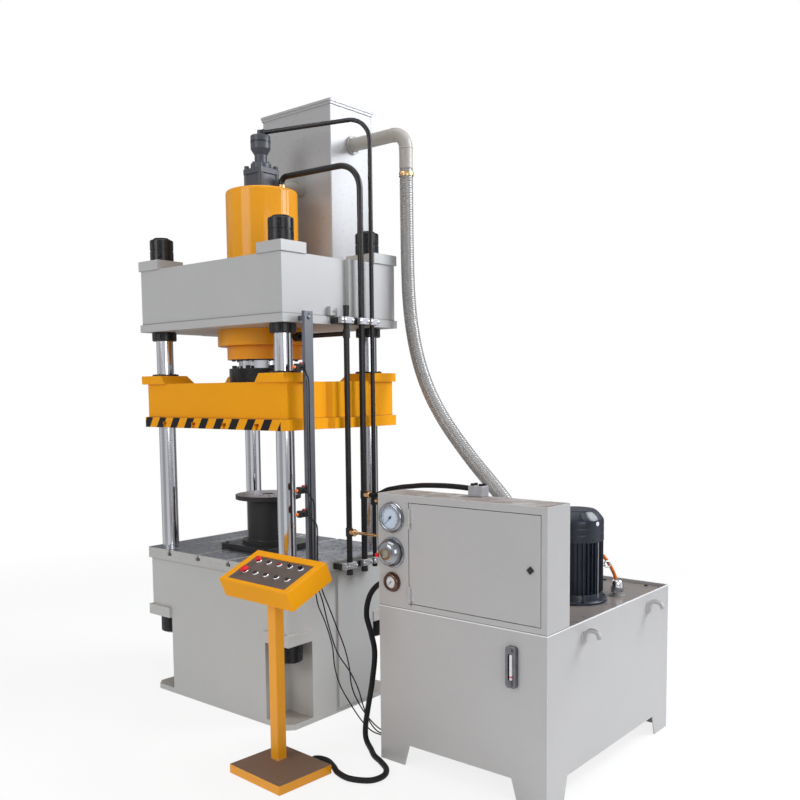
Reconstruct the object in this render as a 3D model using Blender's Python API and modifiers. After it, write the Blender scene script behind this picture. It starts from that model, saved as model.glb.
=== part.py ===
# Four-column hydraulic press with its power unit and operator pedestal.
# Metres, +Z up, +X to the right along the press front, +Y to the rear.
# The origin is on the floor under the ram axis.

import math

import bmesh
import bpy
from mathutils import Matrix, Vector

# Fits
SEAT_GAP = 0.0003
SLIDE_CLEARANCE = 0.0006
BITE = 0.002
ROUND_STEPS = 16
LARGE_STEPS = 32
BOLT_STEPS = 6
SMOOTH_ANGLE = math.radians(35)

# Columns and their nuts
COLUMN_RADIUS = 0.046
COLUMN_X = 0.480
COLUMN_Y = 0.316
COLUMN_STUB = 0.010
NUT_RADIUS = 0.0635
LOWER_NUT_RADIUS = 0.0665
TOP_NUT_HEIGHT = 0.118
CROSSHEAD_NUT_HEIGHT = 0.048
BED_NUT_HEIGHT = 0.098
NUT_SEAM = 0.003
NUT_GROOVE = 0.002

# Bed
BED_HALF_WIDTH = 0.555
BED_FRONT = -0.395
BED_REAR = 0.415
BED_HEIGHT = 0.757
PAD_BOTTOM = 0.433
PAD_TOP = 0.491
PAD_STANDS_OUT = 0.0165
POCKET_X = 0.385
POCKET_Y = 0.229
FOOT_PLATE = 0.030
FOOT_CHAMFER = 0.040
BED_WALL = 0.025
CUSHION_WINDOW_WIDTH = 0.420
CUSHION_WINDOW_HEIGHT = 0.360
CUSHION_WINDOW_BOTTOM = 0.150
SIDE_PAD_FRONT = -0.045

# Slotted table
TABLE_THICKNESS = 0.062
TABLE_OVERHANG = 0.0115
SLOT_PITCH = 0.250
SLOT_COUNT = 4
SLOT_WIDTH = 0.020
SLOT_FOOT_WIDTH = 0.034
SLOT_FOOT_HEIGHT = 0.014
SLOT_NECK_DEPTH = 0.018

# Slide
SLIDE_HALF_WIDTH = 0.559
SLIDE_FRONT = -0.396
SLIDE_REAR = 0.390
SLIDE_TOP = 1.7815
SLIDE_LOW_TOP = SLIDE_TOP - 0.0435
SLIDE_BOTTOM = SLIDE_TOP - 0.2819
SLIDE_FLANGE = 0.055
SLIDE_LIP = 0.014
SLIDE_PAD_INNER_X = 0.398
SLIDE_PAD_INNER_Y = 0.232
SLIDE_PAD_SLOPE = 0.032
SLIDE_STEP = 0.027
SLIDE_STEP_FRONT = -0.080
SLIDE_CORNER = 0.024
BUSH_RADIUS = 0.072
BUSH_HEIGHT = 0.009

# Upper crosshead
CROSSHEAD_HALF_WIDTH = 0.5645
CROSSHEAD_FRONT = -0.398
CROSSHEAD_REAR = 0.411
CROSSHEAD_BOTTOM = SLIDE_TOP + 0.242
CROSSHEAD_FLANGE = 0.041
CROSSHEAD_TOP = CROSSHEAD_BOTTOM + 0.3365
CROSSHEAD_LIP = 0.009
CROSSHEAD_PAD_HEIGHT = 0.051
CROSSHEAD_PAD_INNER_X = 0.398
CROSSHEAD_PAD_INNER_Y = 0.236
CROSSHEAD_STEP = 0.027
CROSSHEAD_STEP_FRONT = 0.045

# Main cylinder and ram
CYLINDER_RADIUS = 0.1945
CYLINDER_TOP = CROSSHEAD_TOP + 0.410
CYLINDER_BORE = 0.160
CYLINDER_HEAD = 0.070
FLANGE_RADIUS = 0.256
FLANGE_BOTTOM = CROSSHEAD_BOTTOM - 0.0875
GLAND_RADIUS = 0.206
GLAND_BOTTOM = FLANGE_BOTTOM - 0.072
RAM_RADIUS = 0.145
PISTON_HEIGHT = 0.140
RAM_TOP = CYLINDER_TOP - 0.150
RAM_FLANGE_RADIUS = 0.198
RAM_FLANGE_HEIGHT = 0.034
BOLT_COUNT = 8
RING_BOLT_RADIUS = 0.013
RING_BOLT_HEIGHT = 0.016
GLAND_BOLT_RADIUS = 0.010
GLAND_BOLT_DEPTH = 0.010

# Prefill valve on the cylinder head
VALVE_BLOCK_HALF = 0.071
VALVE_BLOCK_HEIGHT = 0.120
VALVE_RING_RADIUS = 0.056
VALVE_RING_HEIGHT = 0.030
VALVE_NECK_RADIUS = 0.034
VALVE_NECK_HEIGHT = 0.046
VALVE_CUP_RADIUS = 0.054
VALVE_CUP_CONE = 0.032
VALVE_CUP_HEIGHT = 0.072
VALVE_BOLT_RADIUS = 0.013
VALVE_BOLT_HEIGHT = 0.018
VALVE_CAP_RADIUS = 0.017
VALVE_CAP_HEIGHT = 0.030

# Head tank behind the cylinder
HEAD_TANK_HALF_WIDTH = 0.270
HEAD_TANK_FRONT = 0.266
HEAD_TANK_DEPTH = 0.343
HEAD_TANK_TOP = CYLINDER_TOP + 0.482
HEAD_LID = 0.024
HEAD_LID_OVERHANG = 0.010
HEAD_TANK_WALL = 0.006
SUCTION_RADIUS = 0.034
SUCTION_Z = CYLINDER_TOP + 0.052
SUCTION_X = 0.050

# Filling pipe and the clear hose
FILL_Z = HEAD_TANK_TOP - 0.194
FILL_Y = 0.440
FILL_RADIUS = 0.0365
FILL_DROP_X = 0.657
FILL_BEND = 0.085
FILL_FLANGE_RADIUS = 0.050
FILL_FLANGE_THICKNESS = 0.014
FILL_END_Z = FILL_Z - 0.190
HOSE_CLAMP_WIDTH = 0.026
HOSE_CLAMP_WALL = 0.004
HOSE_RADIUS = 0.0365

# Steel pipes down the right side
PIPE_X = 0.626
PILOT_PIPE_Y = 0.182
PILOT_PIPE_RADIUS = 0.0115
PILOT_PIPE_TOP = CYLINDER_TOP + 0.316
PILOT_PIPE_END = 0.755
RETURN_PIPE_Y = 0.100
RETURN_PIPE_RADIUS = 0.0157
RETURN_PIPE_TOP = CYLINDER_TOP + 0.076
RETURN_PIPE_END = 0.742
RETURN_PORT_X = 0.095
RETURN_PORT_Y = 0.060
PRESSING_PIPE_Y = -0.016
PRESSING_PIPE_RADIUS = 0.0147
PRESSING_PIPE_TOP = CROSSHEAD_BOTTOM + 0.0965
PRESSING_PIPE_END = 0.740
PRESSING_TEE_Z = FLANGE_BOTTOM + 0.042
PRESSING_TEE_RADIUS = 0.0122
PIPE_BEND = 0.120
PIPE_NUT_RADIUS = 0.021
RETURN_BRANCH_Z = 1.148
PRESSING_BRANCH_Z = 0.964
PRESSING_BRANCH_RADIUS = 0.0075
PRESSING_BRANCH_X = 1.200
PILOT_BRANCH_Z = 1.108
PILOT_BRANCH_X = 1.300

# Pipe clamps
CLAMP_OUTER_X = 0.652
CLAMP_FRONT_Y = -0.078
CLAMP_REAR_Y = 0.216
CLAMP_HEIGHT = 0.034
UPPER_CLAMP_Z = CROSSHEAD_BOTTOM + 0.0035
LOWER_CLAMP_Z = 0.774
CLAMP_BOLT_RADIUS = 0.007

# Limit switch bar
BAR_X = 0.612
BAR_WIDTH = 0.022
BAR_FRONT = -0.318
BAR_DEPTH = 0.056
BAR_BOTTOM = 0.765
BAR_TOP = CROSSHEAD_BOTTOM + 0.0525
BAR_BRACKET_HEIGHT = 0.022
BAR_BRACKET_DEPTH = 0.026
SWITCH_HEIGHTS = {"upper_switch": BAR_TOP - 0.270, "middle_switch": 1.212, "lower_switch": 1.096}
SWITCH_WIDTH = 0.024
SWITCH_LENGTH = 0.052
SWITCH_HEIGHT = 0.034
SWITCH_TIP_RADIUS = 0.008
SWITCH_TIP_LENGTH = 0.016
SWITCH_CAP_RADIUS = 0.008

# Drawing die on the table
DIE_PLATE_HALF = 0.190
DIE_PLATE_HEIGHT = 0.030
DIE_FLANGE_RADIUS = 0.182
DIE_FLANGE_HEIGHT = 0.024
DIE_NECK_RADIUS = 0.117
DIE_HEIGHT = 0.270
DIE_FOOT_RADIUS = 0.150
DIE_FOOT_HEIGHT = 0.018
DIE_BORE = 0.030

# Oil tank of the power unit
TANK_LEFT = 1.100
TANK_WIDTH = 0.870
TANK_FRONT = -0.337
TANK_DEPTH = 1.180
TANK_TOP = 0.720
TANK_BOTTOM = 0.097
TANK_WALL = 0.006
LEG_FOOT = 0.140
LEG_SLOPE = 0.028
TANK_RIM = 0.022
COVER_THICKNESS = 0.010
COVER_Z = 0.694
HOOK_BAR_RADIUS = 0.011
HOOK_REACH = 0.075
HOOK_Y = (-0.040, 0.600)
HOSE_PORT_X = 1.600
HOSE_PORT_Y = 0.165
HOSE_PORT_HEIGHT = 0.046

# Cabinet on the tank front
CABINET_DEPTH = 0.177
CABINET_TOP = 1.231
CABINET_WALL = 0.005
DOOR_LEFT = 1.274
DOOR_RIGHT = 1.940
DOOR_BOTTOM = 0.748
DOOR_TOP = 1.198
DOOR_GAP = 0.002
DOOR_THICKNESS = 0.016
DOOR_SHEET = 0.003
HINGE_RADIUS = 0.006
HINGE_LENGTH = 0.060
HINGE_STANDOFF = 0.001
FIXED_KNUCKLE = 0.026
FIXED_LEAF = 0.018
HINGE_HEIGHTS = (0.796, 1.142)
LATCH_X = 1.893
LATCH_Z = 0.974
LATCH_RADIUS = 0.011
LATCH_HALF = 0.016
MANIFOLD_WIDTH = 0.360
MANIFOLD_DEPTH = 0.080
MANIFOLD_HEIGHT = 0.200
MANIFOLD_X = 1.470
VALVE_COUNT = 3
VALVE_PITCH = 0.120
JUNCTION_X = 1.505
JUNCTION_WIDTH = 0.074
JUNCTION_DEPTH = 0.052
JUNCTION_HEIGHT = 0.046

# Gauges: centre height, flange radius, body radius, stand-off
GAUGE_X = 1.181
SYSTEM_GAUGE_Z = 1.126
SYSTEM_GAUGE_RADIUS = 0.0700
SYSTEM_DIAL_RADIUS = 0.0490
CONTACT_GAUGE_Z = 0.969
CONTACT_GAUGE_RADIUS = 0.0700
PILOT_GAUGE_Z = 0.835
PILOT_GAUGE_RADIUS = 0.0460
PILOT_DIAL_RADIUS = 0.0270
GAUGE_FLANGE = 0.004
GAUGE_RIM = 0.022
GAUGE_DOME = 0.052
DIAL_RECESS = 0.009

# Level gauge on the tank front
LEVEL_X = 1.811
LEVEL_WIDTH = 0.050
LEVEL_BOTTOM = 0.483
LEVEL_TOP = 0.655
LEVEL_DEPTH = 0.020
LEVEL_STUD_RADIUS = 0.011

# Electric motor
MOTOR_X = 1.722
MOTOR_Y = 0.345
MOTOR_FLANGE_RADIUS = 0.148
MOTOR_FLANGE_HEIGHT = 0.014
MOTOR_BODY_RADIUS = 0.118
MOTOR_FIN_RADIUS = 0.130
MOTOR_FIN_COUNT = 24
MOTOR_FIN_WIDTH = 0.004
MOTOR_BODY_BOTTOM = 0.735
MOTOR_BODY_TOP = 0.990
MOTOR_BORE = 0.088
COWL_RADIUS = 0.132
COWL_TOP_RADIUS = 0.090
COWL_CHAMFER = 0.042
COWL_TOP = 1.132
COWL_WALL = 0.004
COWL_HOLE_COUNT = 8
COWL_HOLE_RADIUS = 0.013
FAN_RADIUS = 0.100
FAN_HEIGHT = 0.040
FAN_BLADES = 6
SHAFT_RADIUS = 0.019
TERMINAL_WIDTH = 0.100
TERMINAL_OUT = 0.168
TERMINAL_BOTTOM = 0.880
TERMINAL_TOP = 0.962

# Filler cap
FILLER_X = 1.845
FILLER_Y = 0.535
FILLER_RADIUS = 0.030
FILLER_HEIGHT = 0.062
FILLER_NECK_RADIUS = 0.022
FILLER_NECK_HEIGHT = 0.016

# Operator pedestal, in its own turned frame
PEDESTAL_X = 0.860
PEDESTAL_Y = -0.745
PEDESTAL_TURN = math.radians(-3.5)
BASE_WIDTH = 0.345
BASE_DEPTH = 0.300
BASE_HEIGHT = 0.041
POST_X = -0.060
POST_Y = 0.040
POST_HALF = 0.026
CONSOLE_WIDTH = 0.478
CONSOLE_LENGTH = 0.250
CONSOLE_HEIGHT = 0.093
CONSOLE_X = -0.087
CONSOLE_FRONT_Y = -0.072
CONSOLE_FRONT_Z = 0.845
CONSOLE_TILT = math.radians(23.5)
PANEL_MARGIN_X = 0.038
PANEL_MARGIN_FRONT = 0.022
PANEL_MARGIN_REAR = 0.040
PANEL_RECESS = 0.006
BUTTON_PITCH = 0.0735
BUTTON_ROWS = (-0.036, 0.050)
BUTTON_HOLE = 0.0112
BUTTON_CLEARANCE = 0.0004
BEZEL_RADIUS = 0.0150
BEZEL_HEIGHT = 0.0065
BUTTON_STEM = 0.018
BUTTON_TRAVEL = 0.004
MUSHROOM_RADIUS = 0.0200
SMALL_MUSHROOM_RADIUS = 0.0160
SELECTOR_HEIGHT = 0.016
SELECTOR_HALF_WIDTH = 0.0045

# Colours: base colour, roughness, metallic
FINISHES = {
    "pale_grey_paint": ((0.62, 0.62, 0.58, 1), 0.42, 0.0),
    "yellow_paint": ((0.78, 0.33, 0.015, 1), 0.38, 0.0),
    "machined_steel": ((0.42, 0.44, 0.48, 1), 0.35, 0.9),
    "hard_chrome": ((0.80, 0.81, 0.83, 1), 0.10, 1.0),
    "blackened_steel": ((0.018, 0.019, 0.022, 1), 0.45, 0.6),
    "dark_cast_iron": ((0.045, 0.050, 0.060, 1), 0.50, 0.2),
    "motor_paint": ((0.020, 0.026, 0.040, 1), 0.40, 0.0),
    "black_pipe_paint": ((0.012, 0.012, 0.016, 1), 0.28, 0.0),
    "zinc_plate": ((0.60, 0.60, 0.62, 1), 0.35, 0.9),
    "brass": ((0.62, 0.38, 0.16, 1), 0.30, 1.0),
    "beige_paint": ((0.50, 0.47, 0.40, 1), 0.45, 0.0),
    "clear_hose": ((0.62, 0.62, 0.58, 1), 0.25, 0.0),
    "black_rubber": ((0.012, 0.012, 0.012, 1), 0.65, 0.0),
    "black_plastic": ((0.015, 0.015, 0.017, 1), 0.35, 0.0),
    "red_plastic": ((0.60, 0.010, 0.020, 1), 0.30, 0.0),
    "orange_plastic": ((0.80, 0.16, 0.01, 1), 0.45, 0.0),
    "gauge_face": ((0.60, 0.66, 0.74, 1), 0.20, 0.0),
}

press = bpy.data.collections.new("hydraulic_press")
tools = bpy.data.collections.new("cutters")


def clear_scene():
    for old in list(bpy.data.objects):
        bpy.data.objects.remove(old, do_unlink=True)
    for group in (press, tools):
        bpy.context.scene.collection.children.link(group)


def finish_of(name):
    material = bpy.data.materials.get(name)
    if material is None:
        colour, roughness, metallic = FINISHES[name]
        material = bpy.data.materials.new(name)
        material.use_nodes = True
        shader = material.node_tree.nodes["Principled BSDF"]
        shader.inputs["Base Color"].default_value = colour
        shader.inputs["Roughness"].default_value = roughness
        shader.inputs["Metallic"].default_value = metallic
    return material


def place(name, mesh, finish, parent=None, origin=(0, 0, 0)):
    """A named object whose mesh is drawn from its own origin."""
    obj = bpy.data.objects.new(name, mesh)
    press.objects.link(obj)
    obj.location = origin
    obj.parent = parent
    mesh.shade_smooth()
    mesh.set_sharp_from_angle(angle=SMOOTH_ANGLE)
    mesh.materials.append(finish_of(finish))
    return obj


def helper(mesh, origin=(0, 0, 0), turn=(0, 0, 0), parent=None):
    """An unseen solid for a Boolean."""
    obj = bpy.data.objects.new("helper", mesh)
    tools.objects.link(obj)
    obj.location = origin
    obj.rotation_euler = turn
    obj.parent = parent
    obj.hide_render = True
    obj.display_type = "WIRE"
    return obj


def boolean(obj, other, operation):
    step = obj.modifiers.new(operation.lower(), "BOOLEAN")
    step.operation = operation
    step.solver = "EXACT"
    step.object = other
    return obj


def join(obj, *others):
    for other in others:
        boolean(obj, other, "UNION")
    return obj


def cut(obj, *others):
    for other in others:
        boolean(obj, other, "DIFFERENCE")
    return obj


def mesh_from(bm, name="shape"):
    bmesh.ops.recalc_face_normals(bm, faces=bm.faces)
    mesh = bpy.data.meshes.new(name)
    bm.to_mesh(mesh)
    bm.free()
    return mesh


def box_mesh(x, y, z, bevel=0.0):
    """A box from its three (low, high) spans, with every edge rounded by bevel."""
    bm = bmesh.new()
    bmesh.ops.create_cube(bm, size=1)
    for vert in bm.verts:
        for axis, (low, high) in enumerate((x, y, z)):
            vert.co[axis] = low + (vert.co[axis] + 0.5) * (high - low)
    if bevel:
        bmesh.ops.bevel(bm, geom=bm.edges[:], offset=bevel, segments=1, profile=0.5, affect="EDGES")
    return mesh_from(bm)


def rod_mesh(radius, low, high, axis="Z", centre=(0, 0), steps=ROUND_STEPS, bevel=0.0):
    """A round bar along an axis; centre holds its other two coordinates in X, Y, Z order."""
    bm = bmesh.new()
    bmesh.ops.create_cone(
        bm, cap_ends=True, segments=steps, radius1=radius, radius2=radius, depth=high - low
    )
    if bevel:
        rims = [e for e in bm.edges if abs(e.verts[0].co.z - e.verts[1].co.z) < 1e-9]
        bmesh.ops.bevel(bm, geom=rims, offset=bevel, segments=2, profile=0.5, affect="EDGES")
    middle = (low + high) / 2
    if axis == "Z":
        move = Matrix.Translation((centre[0], centre[1], middle))
    elif axis == "Y":
        move = Matrix.Translation((centre[0], middle, centre[1])) @ Matrix.Rotation(-math.pi / 2, 4, "X")
    else:
        move = Matrix.Translation((middle, centre[0], centre[1])) @ Matrix.Rotation(math.pi / 2, 4, "Y")
    bm.transform(move)
    return mesh_from(bm)


def built(data, steps=0):
    """The mesh that a curve makes, or that a profile makes when it is turned about Z."""
    carrier = bpy.data.objects.new("carrier", data)
    tools.objects.link(carrier)
    if steps:
        turn = carrier.modifiers.new("turn", "SCREW")
        turn.steps = turn.render_steps = steps
        turn.use_merge_vertices = True
        turn.merge_threshold = 0.00005
    graph = bpy.context.evaluated_depsgraph_get()
    mesh = bpy.data.meshes.new_from_object(carrier.evaluated_get(graph))
    bpy.data.objects.remove(carrier, do_unlink=True)
    bm = bmesh.new()
    bm.from_mesh(mesh)
    bmesh.ops.remove_doubles(bm, verts=bm.verts, dist=1e-6)
    return bm


def turned_mesh(profile, steps=ROUND_STEPS, centre=(0, 0), axis="Z"):
    """A profile of (radius, height) points, top to bottom down its outer side, turned about Z and laid along the axis."""
    outline = bpy.data.meshes.new("profile")
    points = [(radius, 0, height) for radius, height in profile]
    edges = [(i, i + 1) for i in range(len(points) - 1)]
    if profile[0][0] > 0:
        edges.append((len(points) - 1, 0))
    outline.from_pydata(points, edges, [])
    bm = built(outline, steps)
    if axis == "Y":
        bm.transform(Matrix.Rotation(math.pi / 2, 4, "X"))
    bm.transform(Matrix.Translation((centre[0], centre[1], 0)))
    return mesh_from(bm)


def prism_mesh(outline, low, high, axis="Z"):
    """A flat outline drawn in the plane across the axis and extruded along it."""
    order = {"Z": (0, 1, 2), "Y": (0, 2, 1), "X": (1, 2, 0)}[axis]
    bm = bmesh.new()
    ring = []
    for point in outline:
        spot = [0.0, 0.0, 0.0]
        spot[order[0]], spot[order[1]], spot[order[2]] = point[0], point[1], low
        ring.append(bm.verts.new(spot))
    face = bm.faces.new(ring)
    grown = bmesh.ops.extrude_face_region(bm, geom=[face], use_keep_orig=True)["geom"]
    shift = [0.0, 0.0, 0.0]
    shift[order[2]] = high - low
    bmesh.ops.translate(bm, vec=shift, verts=[item for item in grown if isinstance(item, bmesh.types.BMVert)])
    return mesh_from(bm)


def bent(corners, radius, steps=8):
    """Points along straight runs whose inner corners are arcs of one radius."""
    points = [Vector(corners[0])]
    for before, here, after in zip(corners, corners[1:], corners[2:]):
        here, before, after = Vector(here), Vector(before), Vector(after)
        into, out = (here - before).normalized(), (after - here).normalized()
        angle = into.angle(out)
        back = radius * math.tan(angle / 2)
        normal = (out - into * into.dot(out)).normalized()
        start = here - into * back
        for i in range(steps + 1):
            a = angle * i / steps
            points.append(start + into * radius * math.sin(a) + normal * radius * (1 - math.cos(a)))
    points.append(Vector(corners[-1]))
    return points


def tube_curve(points, radius, roundness=2):
    curve = bpy.data.curves.new("tube", "CURVE")
    curve.dimensions = "3D"
    curve.bevel_depth = radius
    curve.bevel_resolution = roundness
    curve.use_fill_caps = True
    spline = curve.splines.new("POLY")
    spline.points.add(len(points) - 1)
    for point, co in zip(spline.points, points):
        point.co = (*co, 1)
    return curve


def tube_mesh(points, radius, roundness=2):
    """A round bar along the points, as a mesh, so that it can be joined or cut."""
    return mesh_from(built(tube_curve(points, radius, roundness)))


def corners_of(x, y):
    return [(sx * x, sy * y, sx, sy) for sx in (-1, 1) for sy in (-1, 1)]


def around(count, radius, turn=0.0):
    for i in range(count):
        a = 2 * math.pi * i / count + turn
        yield radius * math.cos(a), radius * math.sin(a)


def column_holes(obj, low, high, clearance):
    for x, y, _, _ in corners_of(COLUMN_X, COLUMN_Y):
        cut(obj, helper(rod_mesh(COLUMN_RADIUS + clearance, low, high, centre=(x, y))))


def slot_cutters(obj, open_face, into, front, rear):
    """T-slots run front to back; into is +1 when the slot goes up from its open face, -1 when down."""
    for i in range(SLOT_COUNT):
        x = (i - (SLOT_COUNT - 1) / 2) * SLOT_PITCH
        neck_end = open_face + into * SLOT_NECK_DEPTH
        foot_end = neck_end + into * SLOT_FOOT_HEIGHT
        outline = [
            (x - SLOT_WIDTH / 2, open_face - into * BITE),
            (x - SLOT_WIDTH / 2, neck_end),
            (x - SLOT_FOOT_WIDTH / 2, neck_end),
            (x - SLOT_FOOT_WIDTH / 2, foot_end),
            (x + SLOT_FOOT_WIDTH / 2, foot_end),
            (x + SLOT_FOOT_WIDTH / 2, neck_end),
            (x + SLOT_WIDTH / 2, neck_end),
            (x + SLOT_WIDTH / 2, open_face - into * BITE),
        ]
        cut(obj, helper(prism_mesh(outline, front - BITE, rear + BITE, axis="Y")))


def make_bed():
    table_bottom = BED_HEIGHT + SEAT_GAP
    bed = place(
        "bed_frame",
        box_mesh((-BED_HALF_WIDTH, BED_HALF_WIDTH), (BED_FRONT, BED_REAR), (0, BED_HEIGHT)),
        "pale_grey_paint",
    )
    side = BED_HALF_WIDTH + TABLE_OVERHANG
    for sign in (-1, 1):
        span = sorted((sign * (BED_HALF_WIDTH - BITE), sign * side))
        join(bed, helper(box_mesh(span, (SIDE_PAD_FRONT, POCKET_Y), (FOOT_PLATE, BED_HEIGHT))))
    for _, _, sx, sy in corners_of(1, 1):
        edge_y = -BED_FRONT if sy < 0 else BED_REAR
        x_span = sorted((sx * POCKET_X, sx * (BED_HALF_WIDTH + PAD_STANDS_OUT)))
        y_span = sorted((sy * POCKET_Y, sy * (edge_y + PAD_STANDS_OUT)))
        join(bed, helper(box_mesh(x_span, y_span, (PAD_BOTTOM, PAD_TOP))))
        over_x = sorted((sx * POCKET_X, sx * (BED_HALF_WIDTH + 0.05)))
        over_y = sorted((sy * POCKET_Y, sy * (edge_y + 0.05)))
        cut(bed, helper(box_mesh(over_x, over_y, (FOOT_PLATE, PAD_BOTTOM))))
        corner = (sx * BED_HALF_WIDTH, sy * edge_y)
        chamfer = [
            (corner[0] + sx * BITE, corner[1] + sy * BITE),
            (corner[0] - sx * FOOT_CHAMFER, corner[1] + sy * BITE),
            (corner[0] + sx * BITE, corner[1] - sy * FOOT_CHAMFER),
        ]
        cut(bed, helper(prism_mesh(chamfer, -BITE, FOOT_PLATE + BITE)))
    hollow_x = POCKET_X - BED_WALL
    cut(bed, helper(box_mesh(
        (-hollow_x, hollow_x), (BED_FRONT + BED_WALL, BED_REAR - BED_WALL),
        (FOOT_PLATE, BED_HEIGHT - 2 * BED_WALL),
    )))
    cut(bed, helper(box_mesh(
        (-CUSHION_WINDOW_WIDTH / 2, CUSHION_WINDOW_WIDTH / 2),
        (BED_REAR - 2 * BED_WALL, BED_REAR + BITE),
        (CUSHION_WINDOW_BOTTOM, CUSHION_WINDOW_BOTTOM + CUSHION_WINDOW_HEIGHT),
    )))
    column_holes(bed, PAD_BOTTOM - BITE, BED_HEIGHT + BITE, SEAT_GAP)

    front, rear = BED_FRONT - TABLE_OVERHANG, BED_REAR + TABLE_OVERHANG
    table = place(
        "work_table",
        box_mesh((-side, side), (front, rear), (table_bottom, table_bottom + TABLE_THICKNESS)),
        "machined_steel",
    )
    slot_cutters(table, table_bottom + TABLE_THICKNESS, -1, front, rear)
    column_holes(table, table_bottom - BITE, table_bottom + TABLE_THICKNESS + BITE, SEAT_GAP)
    return table_bottom + TABLE_THICKNESS


def nut_profile(low, high, radius):
    """A round lock nut as (radius, height) points from the top down; a tall one is split by a seam."""
    if high - low < 2 * CROSSHEAD_NUT_HEIGHT:
        return [(radius, high), (radius, low)]
    seam = (low + high) / 2
    return [
        (radius, high), (radius, seam + NUT_SEAM / 2), (radius - NUT_GROOVE, seam + NUT_SEAM / 2),
        (radius - NUT_GROOVE, seam - NUT_SEAM / 2), (radius, seam - NUT_SEAM / 2), (radius, low),
    ]


def make_column(name, x, y):
    """A column turned in one with its lock nuts: under the bed pad, under and over the crosshead."""
    pad_top = CROSSHEAD_TOP + CROSSHEAD_PAD_HEIGHT
    nut_spans = [
        (pad_top + SEAT_GAP, pad_top + SEAT_GAP + TOP_NUT_HEIGHT, NUT_RADIUS),
        (CROSSHEAD_BOTTOM - SEAT_GAP - CROSSHEAD_NUT_HEIGHT, CROSSHEAD_BOTTOM - SEAT_GAP, LOWER_NUT_RADIUS),
        (PAD_BOTTOM - SEAT_GAP - BED_NUT_HEIGHT, PAD_BOTTOM - SEAT_GAP, LOWER_NUT_RADIUS),
    ]
    top = nut_spans[0][1] + COLUMN_STUB
    bottom = nut_spans[2][0] - COLUMN_STUB
    profile = [(0, top), (COLUMN_RADIUS, top)]
    for low, high, radius in nut_spans:
        profile += [(COLUMN_RADIUS, high)] + nut_profile(low, high, radius) + [(COLUMN_RADIUS, low)]
    profile += [(COLUMN_RADIUS, bottom), (0, bottom)]
    place(name, turned_mesh(profile, centre=(x, y)), "hard_chrome")


def make_crosshead():
    pad_top = CROSSHEAD_TOP + CROSSHEAD_PAD_HEIGHT
    flange_top = CROSSHEAD_BOTTOM + CROSSHEAD_FLANGE
    w, lip = CROSSHEAD_HALF_WIDTH, CROSSHEAD_LIP
    head = place(
        "upper_crosshead",
        box_mesh((-w, w), (CROSSHEAD_FRONT, CROSSHEAD_REAR), (flange_top - BITE, CROSSHEAD_TOP)),
        "pale_grey_paint",
    )
    step_x = w + CROSSHEAD_STEP
    join(head, helper(box_mesh(
        (-step_x, step_x), (CROSSHEAD_STEP_FRONT, CROSSHEAD_REAR - BITE), (flange_top - BITE, CROSSHEAD_TOP),
    )))
    flange = [
        (-w - lip, CROSSHEAD_FRONT - lip), (w + lip, CROSSHEAD_FRONT - lip),
        (w + lip, CROSSHEAD_STEP_FRONT - lip), (step_x + lip, CROSSHEAD_STEP_FRONT - lip),
        (step_x + lip, CROSSHEAD_REAR + lip), (-step_x - lip, CROSSHEAD_REAR + lip),
        (-step_x - lip, CROSSHEAD_STEP_FRONT - lip), (-w - lip, CROSSHEAD_STEP_FRONT - lip),
    ]
    join(head, helper(prism_mesh(flange, CROSSHEAD_BOTTOM, flange_top)))
    for _, _, sx, sy in corners_of(1, 1):
        outer_x = (w if sy < 0 else step_x) + lip
        outer_y = -CROSSHEAD_FRONT + lip if sy < 0 else CROSSHEAD_REAR + lip
        x_span = sorted((sx * CROSSHEAD_PAD_INNER_X, sx * outer_x))
        y_span = sorted((sy * CROSSHEAD_PAD_INNER_Y, sy * outer_y))
        join(head, helper(box_mesh(x_span, y_span, (CROSSHEAD_TOP - BITE, pad_top))))
    cut(head, helper(rod_mesh(CYLINDER_RADIUS + SEAT_GAP, CROSSHEAD_BOTTOM - BITE, CROSSHEAD_TOP + BITE, steps=LARGE_STEPS)))
    column_holes(head, CROSSHEAD_BOTTOM - BITE, pad_top + BITE, SEAT_GAP)
    return step_x + lip


def slide_pad_mesh(sx, sy, outer_x, outer_y):
    """A corner pad whose two inner sides slope outwards down to the low top."""
    bm = bmesh.new()
    bmesh.ops.create_cube(bm, size=1)
    for vert in bm.verts:
        spread = SLIDE_PAD_SLOPE if vert.co.z < 0 else 0.0
        inner = (SLIDE_PAD_INNER_X - spread, SLIDE_PAD_INNER_Y - spread)
        vert.co.x = sx * (outer_x if vert.co.x * sx > 0 else inner[0])
        vert.co.y = sy * (outer_y if vert.co.y * sy > 0 else inner[1])
        vert.co.z = SLIDE_TOP if vert.co.z > 0 else SLIDE_LOW_TOP - BITE
    return mesh_from(bm)


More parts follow.
